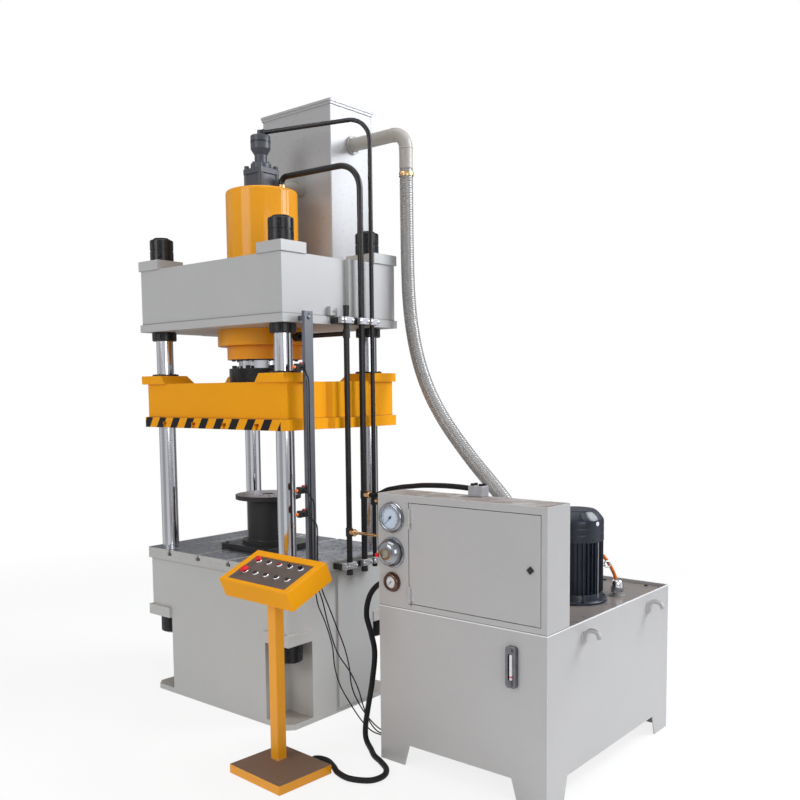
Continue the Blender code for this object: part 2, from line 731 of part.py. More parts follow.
def make_slide():
    w, lip, cut_off = SLIDE_HALF_WIDTH, SLIDE_LIP, SLIDE_CORNER
    flange_top = SLIDE_BOTTOM + SLIDE_FLANGE
    step_x = w + SLIDE_STEP

    def outline(grow):
        return [
            (-w - grow + cut_off, SLIDE_FRONT - grow), (w + grow - cut_off, SLIDE_FRONT - grow),
            (w + grow, SLIDE_FRONT - grow + cut_off), (w + grow, SLIDE_STEP_FRONT - cut_off),
            (step_x + grow, SLIDE_STEP_FRONT), (step_x + grow, SLIDE_REAR + grow),
            (-step_x - grow, SLIDE_REAR + grow), (-step_x - grow, SLIDE_STEP_FRONT),
            (-w - grow, SLIDE_STEP_FRONT - cut_off), (-w - grow, SLIDE_FRONT - grow + cut_off),
        ]

    slide = place("slide_beam", prism_mesh(outline(0), flange_top - BITE, SLIDE_LOW_TOP), "yellow_paint")
    join(slide, helper(prism_mesh(outline(lip), SLIDE_BOTTOM, flange_top)))
    for _, _, sx, sy in corners_of(1, 1):
        outer_x = (w if sy < 0 else step_x) + lip
        outer_y = (-SLIDE_FRONT if sy < 0 else SLIDE_REAR) + lip
        join(slide, helper(slide_pad_mesh(sx, sy, outer_x, outer_y)))
    for x, y, _, _ in corners_of(COLUMN_X, COLUMN_Y):
        join(slide, helper(rod_mesh(BUSH_RADIUS, SLIDE_TOP - BITE, SLIDE_TOP + BUSH_HEIGHT, centre=(x, y))))
    slot_cutters(slide, SLIDE_BOTTOM, 1, SLIDE_FRONT - lip, SLIDE_REAR + lip)
    column_holes(slide, SLIDE_BOTTOM - BITE, SLIDE_TOP + BUSH_HEIGHT + BITE, SLIDE_CLEARANCE)


def make_cylinder_and_ram():
    head_inside = CYLINDER_TOP - CYLINDER_HEAD
    flange_top = CROSSHEAD_BOTTOM - SEAT_GAP
    gland_top = FLANGE_BOTTOM - SEAT_GAP
    cylinder = place("main_cylinder", turned_mesh([
        (0, CYLINDER_TOP), (CYLINDER_RADIUS - 0.004, CYLINDER_TOP), (CYLINDER_RADIUS, CYLINDER_TOP - 0.004),
        (CYLINDER_RADIUS, flange_top), (FLANGE_RADIUS, flange_top),
        (FLANGE_RADIUS, FLANGE_BOTTOM + 0.003), (FLANGE_RADIUS - 0.003, FLANGE_BOTTOM),
        (CYLINDER_BORE, FLANGE_BOTTOM), (CYLINDER_BORE, head_inside), (0, head_inside),
    ], steps=LARGE_STEPS), "yellow_paint")
    port_low = CYLINDER_TOP - 0.02
    cut(cylinder, helper(rod_mesh(PIPE_NUT_RADIUS * 0.6, port_low, CYLINDER_TOP + BITE, centre=(RETURN_PORT_X, RETURN_PORT_Y))))

    gland = place("cylinder_gland", turned_mesh([
        (RAM_RADIUS + SLIDE_CLEARANCE, gland_top), (GLAND_RADIUS, gland_top),
        (GLAND_RADIUS, GLAND_BOTTOM + 0.004), (GLAND_RADIUS - 0.004, GLAND_BOTTOM),
        (RAM_RADIUS + SLIDE_CLEARANCE, GLAND_BOTTOM),
    ], steps=LARGE_STEPS), "yellow_paint")
    ring = (GLAND_RADIUS + RAM_RADIUS) / 2
    for x, y in around(BOLT_COUNT, ring, math.radians(15)):
        join(gland, helper(rod_mesh(
            GLAND_BOLT_RADIUS, GLAND_BOTTOM - GLAND_BOLT_DEPTH, GLAND_BOTTOM + BITE, centre=(x, y), steps=BOLT_STEPS,
        )))

    ram_bottom = SLIDE_LOW_TOP + SEAT_GAP
    collar_top = ram_bottom + SLIDE_TOP - SLIDE_LOW_TOP + RAM_FLANGE_HEIGHT
    piston_bottom = RAM_TOP - PISTON_HEIGHT
    piston = CYLINDER_BORE - SLIDE_CLEARANCE
    ram = place("ram", turned_mesh([
        (0, RAM_TOP), (piston - 0.004, RAM_TOP), (piston, RAM_TOP - 0.004), (piston, piston_bottom),
        (RAM_RADIUS, piston_bottom), (RAM_RADIUS, collar_top),
        (RAM_FLANGE_RADIUS, collar_top), (RAM_FLANGE_RADIUS, ram_bottom), (0, ram_bottom),
    ], steps=LARGE_STEPS), "hard_chrome")
    for x, y in around(BOLT_COUNT, (RAM_FLANGE_RADIUS + RAM_RADIUS) / 2, math.radians(15)):
        join(ram, helper(rod_mesh(
            RING_BOLT_RADIUS, collar_top - BITE, collar_top + RING_BOLT_HEIGHT, centre=(x, y), steps=BOLT_STEPS,
        )))


def make_prefill_valve():
    base = CYLINDER_TOP + SEAT_GAP
    block_top = base + VALVE_BLOCK_HEIGHT
    ring_top = block_top + VALVE_RING_HEIGHT
    neck_top = ring_top + VALVE_NECK_HEIGHT
    cone_top = neck_top + VALVE_CUP_CONE
    cup_top = cone_top + VALVE_CUP_HEIGHT
    half = VALVE_BLOCK_HALF
    valve = place(
        "prefill_valve",
        box_mesh((-half, half), (-half, half), (base, block_top), bevel=0.004),
        "dark_cast_iron",
    )
    join(valve, helper(turned_mesh([
        (0, cup_top + VALVE_CAP_HEIGHT), (VALVE_CAP_RADIUS, cup_top + VALVE_CAP_HEIGHT),
        (VALVE_CAP_RADIUS, cup_top), (VALVE_CUP_RADIUS - 0.004, cup_top), (VALVE_CUP_RADIUS, cup_top - 0.004),
        (VALVE_CUP_RADIUS, cone_top), (VALVE_NECK_RADIUS, neck_top), (VALVE_NECK_RADIUS, ring_top),
        (VALVE_RING_RADIUS, ring_top), (VALVE_RING_RADIUS, block_top - BITE), (0, block_top - BITE),
    ])))
    inset = half - VALVE_BOLT_RADIUS - 0.003
    for x, y, _, _ in corners_of(inset, inset):
        join(valve, helper(rod_mesh(
            VALVE_BOLT_RADIUS, block_top - BITE, block_top + VALVE_BOLT_HEIGHT, centre=(x, y), steps=BOLT_STEPS,
        )))


def make_head_tank():
    w, front = HEAD_TANK_HALF_WIDTH, HEAD_TANK_FRONT
    rear = front + HEAD_TANK_DEPTH
    bottom = CROSSHEAD_TOP + SEAT_GAP
    over, wall = HEAD_LID_OVERHANG, HEAD_TANK_WALL
    tank = place("head_tank", box_mesh((-w, w), (front, rear), (bottom, HEAD_TANK_TOP)), "pale_grey_paint")
    join(tank, helper(box_mesh(
        (-w - over, w + over), (front - over, rear + over), (HEAD_TANK_TOP - BITE, HEAD_TANK_TOP + HEAD_LID), bevel=0.002,
    )))
    cut(tank, helper(box_mesh(
        (-w + wall, w - wall), (front + wall, rear - wall), (bottom + wall, HEAD_TANK_TOP - BITE),
    )))
    cut(tank, helper(rod_mesh(FILL_RADIUS - 0.004, w - 2 * wall, w + BITE, axis="X", centre=(FILL_Y, FILL_Z))))
    join(tank, helper(rod_mesh(
        SUCTION_RADIUS, VALVE_BLOCK_HALF + SEAT_GAP, front + BITE, axis="Y", centre=(SUCTION_X - 0.02, SUCTION_Z),
    )))
    join(tank, helper(rod_mesh(
        SUCTION_RADIUS + 0.008, front - 0.010, front + BITE, axis="Y", centre=(SUCTION_X - 0.02, SUCTION_Z),
    )))

    face = w + SEAT_GAP
    route = bent([(face, FILL_Y, FILL_Z), (FILL_DROP_X, FILL_Y, FILL_Z), (FILL_DROP_X, FILL_Y, FILL_END_Z)], FILL_BEND, 8)
    elbow = place("fill_elbow", tube_mesh(route, FILL_RADIUS, 5), "beige_paint")
    join(elbow, helper(rod_mesh(
        FILL_FLANGE_RADIUS, face, face + FILL_FLANGE_THICKNESS, axis="X", centre=(FILL_Y, FILL_Z),
    )))
    return rear


def make_pipes():
    up = PIPE_BEND
    cap_side = (VALVE_CAP_RADIUS + SEAT_GAP) / math.hypot(PIPE_X, PILOT_PIPE_Y)
    pilot = place("pilot_pipe", tube_mesh(bent([
        (PIPE_X * cap_side, PILOT_PIPE_Y * cap_side, PILOT_PIPE_TOP), (PIPE_X, PILOT_PIPE_Y, PILOT_PIPE_TOP),
        (PIPE_X, PILOT_PIPE_Y, PILOT_PIPE_END),
    ], up, 8), PILOT_PIPE_RADIUS), "black_pipe_paint")
    join(pilot, helper(tube_mesh(bent([
        (PIPE_X, PILOT_PIPE_Y, PILOT_BRANCH_Z), (PILOT_BRANCH_X, PILOT_PIPE_Y, PILOT_BRANCH_Z),
        (PILOT_BRANCH_X, PILOT_PIPE_Y, COVER_Z + COVER_THICKNESS + SEAT_GAP),
    ], 0.05, 6), PILOT_PIPE_RADIUS)))

    port = CYLINDER_TOP + SEAT_GAP
    knee = (RETURN_PORT_X + 0.06, RETURN_PORT_Y + 0.0038, RETURN_PIPE_TOP)
    rise = bent([
        (RETURN_PORT_X, RETURN_PORT_Y, port + 0.01), (RETURN_PORT_X, RETURN_PORT_Y, RETURN_PIPE_TOP), knee,
    ], 0.036, 8)
    fall = bent([
        knee, (PIPE_X, RETURN_PIPE_Y, RETURN_PIPE_TOP), (PIPE_X, RETURN_PIPE_Y, RETURN_PIPE_END),
    ], up + 0.015, 10)
    returns = place("return_pipe", tube_mesh(rise[:-1] + fall, RETURN_PIPE_RADIUS), "black_pipe_paint")
    join(returns, helper(rod_mesh(PIPE_NUT_RADIUS, port, port + 0.034, centre=(RETURN_PORT_X, RETURN_PORT_Y), steps=6)))
    join(returns, helper(rod_mesh(
        PIPE_NUT_RADIUS * 0.9, PIPE_X, PIPE_X + 0.046, axis="X", centre=(RETURN_PIPE_Y, RETURN_BRANCH_Z), steps=6,
    )))

    pressing = place("pressing_pipe", tube_mesh(
        [(PIPE_X, PRESSING_PIPE_Y, PRESSING_PIPE_TOP), (PIPE_X, PRESSING_PIPE_Y, PRESSING_PIPE_END)],
        PRESSING_PIPE_RADIUS,
    ), "black_pipe_paint")
    flange_side = math.sqrt(FLANGE_RADIUS ** 2 - PRESSING_PIPE_Y ** 2) + 0.002
    join(pressing, helper(tube_mesh(
        [(PIPE_X, PRESSING_PIPE_Y, PRESSING_TEE_Z), (flange_side + BITE, PRESSING_PIPE_Y, PRESSING_TEE_Z)],
        PRESSING_TEE_RADIUS,
    )))
    join(pressing, helper(rod_mesh(
        PIPE_NUT_RADIUS * 1.15, flange_side, flange_side + 0.040, axis="X",
        centre=(PRESSING_PIPE_Y, PRESSING_TEE_Z), steps=6,
    )))
    join(pressing, helper(rod_mesh(
        PIPE_NUT_RADIUS * 0.9, PIPE_X, PIPE_X + 0.046, axis="X",
        centre=(PRESSING_PIPE_Y, PRESSING_BRANCH_Z), steps=6,
    )))
    cabinet_back = TANK_FRONT + CABINET_DEPTH
    join(pressing, helper(tube_mesh(bent([
        (PIPE_X + 0.03, PRESSING_PIPE_Y, PRESSING_BRANCH_Z), (PRESSING_BRANCH_X, PRESSING_PIPE_Y, PRESSING_BRANCH_Z),
        (PRESSING_BRANCH_X, cabinet_back + SEAT_GAP, PRESSING_BRANCH_Z),
    ], 0.04, 6), PRESSING_BRANCH_RADIUS, 3)))


def make_clamp(name, low, wall_x, rear_wall_x):
    """A bar with three bores on a block that is bolted to the machine's side."""
    high = low + CLAMP_HEIGHT
    clamp = place(name, box_mesh((rear_wall_x, CLAMP_OUTER_X), (CLAMP_FRONT_Y, CLAMP_REAR_Y), (low, high), bevel=0.002), "blackened_steel")
    if wall_x < rear_wall_x:
        block_rear = CROSSHEAD_STEP_FRONT - CROSSHEAD_LIP - SEAT_GAP
        join(clamp, helper(box_mesh((wall_x, rear_wall_x + BITE), (CLAMP_FRONT_Y, block_rear), (low, high))))
    for y, radius in (
        (PILOT_PIPE_Y, PILOT_PIPE_RADIUS), (RETURN_PIPE_Y, RETURN_PIPE_RADIUS), (PRESSING_PIPE_Y, PRESSING_PIPE_RADIUS),
    ):
        cut(clamp, helper(rod_mesh(radius + SEAT_GAP, low - BITE, high + BITE, centre=(PIPE_X, y), steps=ROUND_STEPS)))
    for y in ((PILOT_PIPE_Y + RETURN_PIPE_Y) / 2, (RETURN_PIPE_Y + PRESSING_PIPE_Y) / 2, (PRESSING_PIPE_Y + CLAMP_FRONT_Y) / 2):
        join(clamp, helper(rod_mesh(
            CLAMP_BOLT_RADIUS, CLAMP_OUTER_X - BITE, CLAMP_OUTER_X + 0.006, axis="X", centre=(y, (low + high) / 2), steps=6,
        )))


def make_switch_bar():
    rear = BAR_FRONT + BAR_DEPTH
    bar = place("switch_bar", box_mesh((BAR_X, BAR_X + BAR_WIDTH), (BAR_FRONT, rear), (BAR_BOTTOM, BAR_TOP), bevel=0.002), "zinc_plate")
    bracket = BAR_BRACKET_DEPTH / 2
    middle = (BAR_FRONT + rear) / 2
    upper = CROSSHEAD_BOTTOM + CROSSHEAD_FLANGE / 2
    lower = BED_HEIGHT + SEAT_GAP + TABLE_THICKNESS / 2
    for level, wall in (
        (upper, CROSSHEAD_HALF_WIDTH + CROSSHEAD_LIP), (lower, BED_HALF_WIDTH + TABLE_OVERHANG),
    ):
        join(bar, helper(box_mesh(
            (wall + SEAT_GAP, BAR_X + BITE), (middle - bracket, middle + bracket),
            (level - BAR_BRACKET_HEIGHT / 2, level + BAR_BRACKET_HEIGHT / 2),
        )))
        join(bar, helper(rod_mesh(
            0.008, BAR_X + BAR_WIDTH - BITE, BAR_X + BAR_WIDTH + 0.006, axis="X", centre=(middle, level), steps=6,
        )))
    middle_x = BAR_X + BAR_WIDTH / 2 - 0.006
    half = SWITCH_WIDTH / 2
    front = BAR_FRONT - SEAT_GAP
    for name, height in SWITCH_HEIGHTS.items():
        body = place(name, box_mesh(
            (-half, half), (-SWITCH_LENGTH, 0), (-SWITCH_HEIGHT / 2, SWITCH_HEIGHT / 2), bevel=0.002,
        ), "black_plastic", origin=(middle_x, front, height))
        tip = rod_mesh(SWITCH_TIP_RADIUS, -SWITCH_LENGTH - SWITCH_TIP_LENGTH, -SWITCH_LENGTH + BITE, axis="Y", steps=BOLT_STEPS * 2)
        join(body, helper(tip, origin=(middle_x, front, height)))
        cap = rod_mesh(SWITCH_CAP_RADIUS, SWITCH_HEIGHT / 2 - BITE, SWITCH_HEIGHT / 2 + 0.008, centre=(0, -0.014), steps=BOLT_STEPS)
        join(body, helper(cap, origin=(middle_x, front, height)))


def make_die(table_top):
    low = table_top + SEAT_GAP
    half = DIE_PLATE_HALF
    place("die_plate", box_mesh((-half, half), (-half, half), (low, low + DIE_PLATE_HEIGHT), bevel=0.003), "blackened_steel")
    foot = low + DIE_PLATE_HEIGHT + SEAT_GAP
    top = foot + DIE_HEIGHT
    place("die_spool", turned_mesh([
        (DIE_BORE, top), (DIE_FLANGE_RADIUS - 0.004, top), (DIE_FLANGE_RADIUS, top - 0.004),
        (DIE_FLANGE_RADIUS, top - DIE_FLANGE_HEIGHT), (DIE_NECK_RADIUS + 0.012, top - DIE_FLANGE_HEIGHT),
        (DIE_NECK_RADIUS, top - DIE_FLANGE_HEIGHT - 0.012), (DIE_NECK_RADIUS, foot + DIE_FOOT_HEIGHT),
        (DIE_FOOT_RADIUS, foot + DIE_FOOT_HEIGHT), (DIE_FOOT_RADIUS, foot), (DIE_BORE, foot),
    ], steps=LARGE_STEPS), "dark_cast_iron")


def tank_side_outline(start, end):
    """A tank wall drawn as (along, height) points: straight top, skirt and two sloping feet."""
    return [
        (start, TANK_TOP), (start, 0), (start + LEG_FOOT, 0), (start + LEG_FOOT + LEG_SLOPE, TANK_BOTTOM),
        (end - LEG_FOOT - LEG_SLOPE, TANK_BOTTOM), (end - LEG_FOOT, 0), (end, 0), (end, TANK_TOP),
    ]


def make_tank():
    left, right = TANK_LEFT, TANK_LEFT + TANK_WIDTH
    front, rear = TANK_FRONT, TANK_FRONT + TANK_DEPTH
    wall = TANK_WALL
    tank = place("oil_tank", prism_mesh(tank_side_outline(left, right), front, front + wall, axis="Y"), "pale_grey_paint")
    join(tank, helper(prism_mesh(tank_side_outline(left, right), rear - wall, rear, axis="Y")))
    join(tank, helper(prism_mesh(tank_side_outline(front, rear), left, left + wall, axis="X")))
    join(tank, helper(prism_mesh(tank_side_outline(front, rear), right - wall, right, axis="X")))
    join(tank, helper(box_mesh(
        (left + BITE, right - BITE), (front + BITE, rear - BITE), (TANK_BOTTOM + 0.010, TANK_BOTTOM + 0.010 + wall),
    )))
    ledge = COVER_Z - SEAT_GAP
    ledge_ring = helper(box_mesh((left + BITE, right - BITE), (front + BITE, rear - BITE), (ledge - wall, ledge)))
    cut(ledge_ring, helper(box_mesh((left + 0.04, right - 0.04), (front + 0.04, rear - 0.04), (ledge - 0.1, ledge + 0.1))))
    join(tank, ledge_ring)
    for y in HOOK_Y:
        level = TANK_TOP - 0.035
        start = right - BITE
        hook = bent([
            (right + HOOK_BAR_RADIUS, y, level - 0.055), (right + HOOK_BAR_RADIUS, y, level),
            (right + HOOK_REACH, y, level), (right + HOOK_REACH, y, level - 0.030),
        ], (HOOK_REACH - HOOK_BAR_RADIUS) / 2 - 0.001, 4)
        join(tank, helper(tube_mesh(hook, HOOK_BAR_RADIUS)))
        join(tank, helper(box_mesh(
            (start, right + HOOK_BAR_RADIUS), (y - 0.009, y + 0.009), (level - 0.062, level - 0.010),
        )))

    gap = 0.001
    cover = place("tank_cover", box_mesh(
        (left + wall + gap, right - wall - gap), (front + wall + gap, rear - wall - gap),
        (COVER_Z, COVER_Z + COVER_THICKNESS),
    ), "dark_cast_iron")
    cover_top = COVER_Z + COVER_THICKNESS
    join(cover, helper(rod_mesh(
        HOSE_RADIUS - 0.006, cover_top - BITE, cover_top + HOSE_PORT_HEIGHT, centre=(HOSE_PORT_X, HOSE_PORT_Y), steps=ROUND_STEPS,
    )))
    for i in range(4):
        x = left + 0.10 + i * (TANK_WIDTH - 0.20) / 3
        join(cover, helper(rod_mesh(0.008, cover_top - BITE, cover_top + 0.007, centre=(x, rear - 0.035), steps=6)))
    cut(cover, helper(rod_mesh(SHAFT_RADIUS + 0.02, COVER_Z - BITE, cover_top + BITE, centre=(MOTOR_X, MOTOR_Y), steps=ROUND_STEPS)))
    return cover_top


def make_cabinet():
    left, right = TANK_LEFT, TANK_LEFT + TANK_WIDTH
    front, back = TANK_FRONT, TANK_FRONT + CABINET_DEPTH
    low, wall = TANK_TOP + SEAT_GAP, CABINET_WALL
    cabinet = place("valve_cabinet", box_mesh((left, right), (front, back), (low, CABINET_TOP)), "pale_grey_paint")
    cut(cabinet, helper(box_mesh((left + wall, right - wall), (front + wall, back - wall), (low + wall, CABINET_TOP - wall))))
    cut(cabinet, helper(box_mesh((DOOR_LEFT, DOOR_RIGHT), (front - BITE, front + 2 * wall), (DOOR_BOTTOM, DOOR_TOP))))

    hinge_x, hinge_y = DOOR_LEFT + DOOR_GAP + HINGE_RADIUS, front - HINGE_RADIUS - HINGE_STANDOFF
    for level in HINGE_HEIGHTS:
        high = level - HINGE_LENGTH / 2 - SEAT_GAP
        low_end = high - FIXED_KNUCKLE
        join(cabinet, helper(rod_mesh(HINGE_RADIUS, low_end, high, centre=(hinge_x, hinge_y))))
        leaf = (hinge_x - FIXED_LEAF, DOOR_LEFT - SEAT_GAP)
        join(cabinet, helper(box_mesh(leaf, (front - BITE, front + BITE), (low_end, high))))
        join(cabinet, helper(box_mesh((leaf[0], hinge_x), (hinge_y + 0.003, front - SEAT_GAP), (low_end, high))))
    panel = (
        (DOOR_LEFT + DOOR_GAP - hinge_x, DOOR_RIGHT - DOOR_GAP - hinge_x), (front - hinge_y, front + DOOR_THICKNESS - hinge_y),
        (DOOR_BOTTOM + DOOR_GAP, DOOR_TOP - DOOR_GAP),
    )
    door = place("cabinet_door", box_mesh(*panel, bevel=0.0015), "pale_grey_paint", origin=(hinge_x, hinge_y, 0))
    inner = [(low_ + DOOR_SHEET, high_ - DOOR_SHEET) for low_, high_ in panel]
    inner[1] = (panel[1][0] + DOOR_SHEET, panel[1][1] + BITE)
    cut(door, helper(box_mesh(*inner), origin=(hinge_x, hinge_y, 0)))
    for level in HINGE_HEIGHTS:
        join(door, helper(rod_mesh(HINGE_RADIUS, level - HINGE_LENGTH / 2, level + HINGE_LENGTH / 2), origin=(hinge_x, hinge_y, 0)))
        join(door, helper(box_mesh(
            (-0.002, 0.012), (HINGE_RADIUS - 0.003, HINGE_RADIUS + 0.001 + BITE), (level - HINGE_LENGTH / 2, level + HINGE_LENGTH / 2),
        ), origin=(hinge_x, hinge_y, 0)))
    hole = rod_mesh(LATCH_RADIUS + SEAT_GAP, front - BITE, front + DOOR_THICKNESS + BITE, axis="Y", centre=(LATCH_X, LATCH_Z), steps=ROUND_STEPS)
    cut(door, helper(hole))

    latch = place("door_latch", rod_mesh(LATCH_RADIUS, -0.004, DOOR_THICKNESS + 0.004, axis="Y", steps=ROUND_STEPS), "black_plastic", origin=(LATCH_X, front, LATCH_Z))
    diamond = [(LATCH_HALF, 0), (0, LATCH_HALF), (-LATCH_HALF, 0), (0, -LATCH_HALF)]
    join(latch, helper(prism_mesh(diamond, -0.007, -SEAT_GAP, axis="Y"), origin=(LATCH_X, front, LATCH_Z)))
    reach = DOOR_RIGHT - LATCH_X + LATCH_RADIUS
    cam = box_mesh((-LATCH_RADIUS * 0.8, LATCH_RADIUS * 0.8), (DOOR_THICKNESS + 0.001, DOOR_THICKNESS + 0.004), (-reach, LATCH_RADIUS * 0.8))
    join(latch, helper(cam, origin=(LATCH_X, front, LATCH_Z)))

    floor = low + wall + SEAT_GAP
    rear_face = back - wall - SEAT_GAP
    manifold = place("valve_manifold", box_mesh(
        (MANIFOLD_X, MANIFOLD_X + MANIFOLD_WIDTH), (rear_face - MANIFOLD_DEPTH, rear_face), (floor, floor + MANIFOLD_HEIGHT), bevel=0.003,
    ), "dark_cast_iron")
    top = floor + MANIFOLD_HEIGHT
    for i in range(VALVE_COUNT):
        x = MANIFOLD_X + 0.055 + i * VALVE_PITCH
        y = rear_face - MANIFOLD_DEPTH / 2
        join(manifold, helper(box_mesh((x - 0.030, x + 0.030), (y - 0.030, y + 0.030), (top - BITE, top + 0.070))))
        join(manifold, helper(rod_mesh(0.024, top + 0.068, top + 0.150, centre=(x, y), steps=12)))
        join(manifold, helper(box_mesh((x - 0.018, x + 0.018), (y - 0.040, y - 0.020), (top + 0.080, top + 0.120))))

    block_low = CABINET_TOP + SEAT_GAP
    block = place("junction_block", box_mesh(
        (JUNCTION_X, JUNCTION_X + JUNCTION_WIDTH), (back - JUNCTION_DEPTH, back), (block_low, block_low + JUNCTION_HEIGHT), bevel=0.002,
    ), "zinc_plate")
    for x in (JUNCTION_X + 0.016, JUNCTION_X + JUNCTION_WIDTH - 0.016):
        for y in (back - 0.013, back - JUNCTION_DEPTH + 0.013):
            join(block, helper(rod_mesh(0.009, block_low + JUNCTION_HEIGHT - BITE, block_low + JUNCTION_HEIGHT + 0.010, centre=(x, y), steps=BOLT_STEPS)))


def make_gauges():
    front = TANK_FRONT - SEAT_GAP

    def body(name, level, profile):
        return place(name, turned_mesh(profile, steps=24, axis="Y"), "hard_chrome", origin=(GAUGE_X, front, level))

    for name, level, radius, dial in (
        ("system_gauge", SYSTEM_GAUGE_Z, SYSTEM_GAUGE_RADIUS, SYSTEM_DIAL_RADIUS),
        ("pilot_gauge", PILOT_GAUGE_Z, PILOT_GAUGE_RADIUS, PILOT_DIAL_RADIUS),
    ):
        face = GAUGE_RIM - DIAL_RECESS
        body(name, level, [
            (0, face), (dial, face), (dial + 0.002, GAUGE_RIM - 0.001), (dial + 0.006, GAUGE_RIM),
            (dial + 0.010, GAUGE_RIM - 0.004), (dial + 0.012, GAUGE_FLANGE + 0.003),
            (radius, GAUGE_FLANGE), (radius, 0), (0, 0),
        ])
    radius = CONTACT_GAUGE_RADIUS
    body("contact_gauge", CONTACT_GAUGE_Z, [
        (0, GAUGE_DOME), (0.030, GAUGE_DOME - 0.001), (0.046, GAUGE_DOME - 0.006), (0.056, GAUGE_DOME - 0.017),
        (0.060, GAUGE_RIM), (0.063, GAUGE_FLANGE + 0.004), (radius, GAUGE_FLANGE), (radius, 0), (0, 0),
    ])

    face = GAUGE_RIM - DIAL_RECESS
    hub = face + SEAT_GAP
    thick = 0.0012
    pointer = place("system_pointer", rod_mesh(0.0055, -hub - 0.004, -hub, axis="Y", steps=BOLT_STEPS * 2), "black_plastic", origin=(GAUGE_X, front, SYSTEM_GAUGE_Z))
    long_end, tail = SYSTEM_DIAL_RADIUS * 0.82, SYSTEM_DIAL_RADIUS * 0.25
    needle = [(-0.0016, -tail), (0.0016, -tail), (0.0006, long_end), (-0.0006, long_end)]
    blade = helper(prism_mesh(needle, -hub - 0.001 - thick, -hub - 0.001, axis="Y"), origin=(GAUGE_X, front, SYSTEM_GAUGE_Z))
    blade.rotation_euler = (0, math.radians(-135), 0)
    join(pointer, blade)


def make_level_gauge():
    front = TANK_FRONT - SEAT_GAP
    half = LEVEL_WIDTH / 2
    frame = place("level_gauge", box_mesh((LEVEL_X - half, LEVEL_X + half), (front - LEVEL_DEPTH, front), (LEVEL_BOTTOM, LEVEL_TOP), bevel=0.006), "zinc_plate")
    cut(frame, helper(box_mesh((LEVEL_X - half + 0.012, LEVEL_X + half - 0.012), (front - LEVEL_DEPTH - BITE, front - 0.006), (LEVEL_BOTTOM + 0.032, LEVEL_TOP - 0.032))))
    join(frame, helper(rod_mesh(0.008, LEVEL_BOTTOM + 0.030, LEVEL_TOP - 0.030, centre=(LEVEL_X, front - 0.013), steps=BOLT_STEPS * 2)))
    for level in (LEVEL_BOTTOM + 0.018, LEVEL_TOP - 0.018):
        join(frame, helper(rod_mesh(LEVEL_STUD_RADIUS, front - LEVEL_DEPTH - 0.008, front - LEVEL_DEPTH + BITE, axis="Y", centre=(LEVEL_X, level), steps=6)))


def fin_outline():
    points = []
    half = MOTOR_FIN_WIDTH / 2
    for i in range(MOTOR_FIN_COUNT):
        a = 2 * math.pi * i / MOTOR_FIN_COUNT
        root, tip = half / MOTOR_BODY_RADIUS, half / MOTOR_FIN_RADIUS
        for radius, turn in ((MOTOR_BODY_RADIUS, -root), (MOTOR_FIN_RADIUS, -tip), (MOTOR_FIN_RADIUS, tip), (MOTOR_BODY_RADIUS, root)):
            points.append((MOTOR_X + radius * math.cos(a + turn), MOTOR_Y + radius * math.sin(a + turn)))
    return points


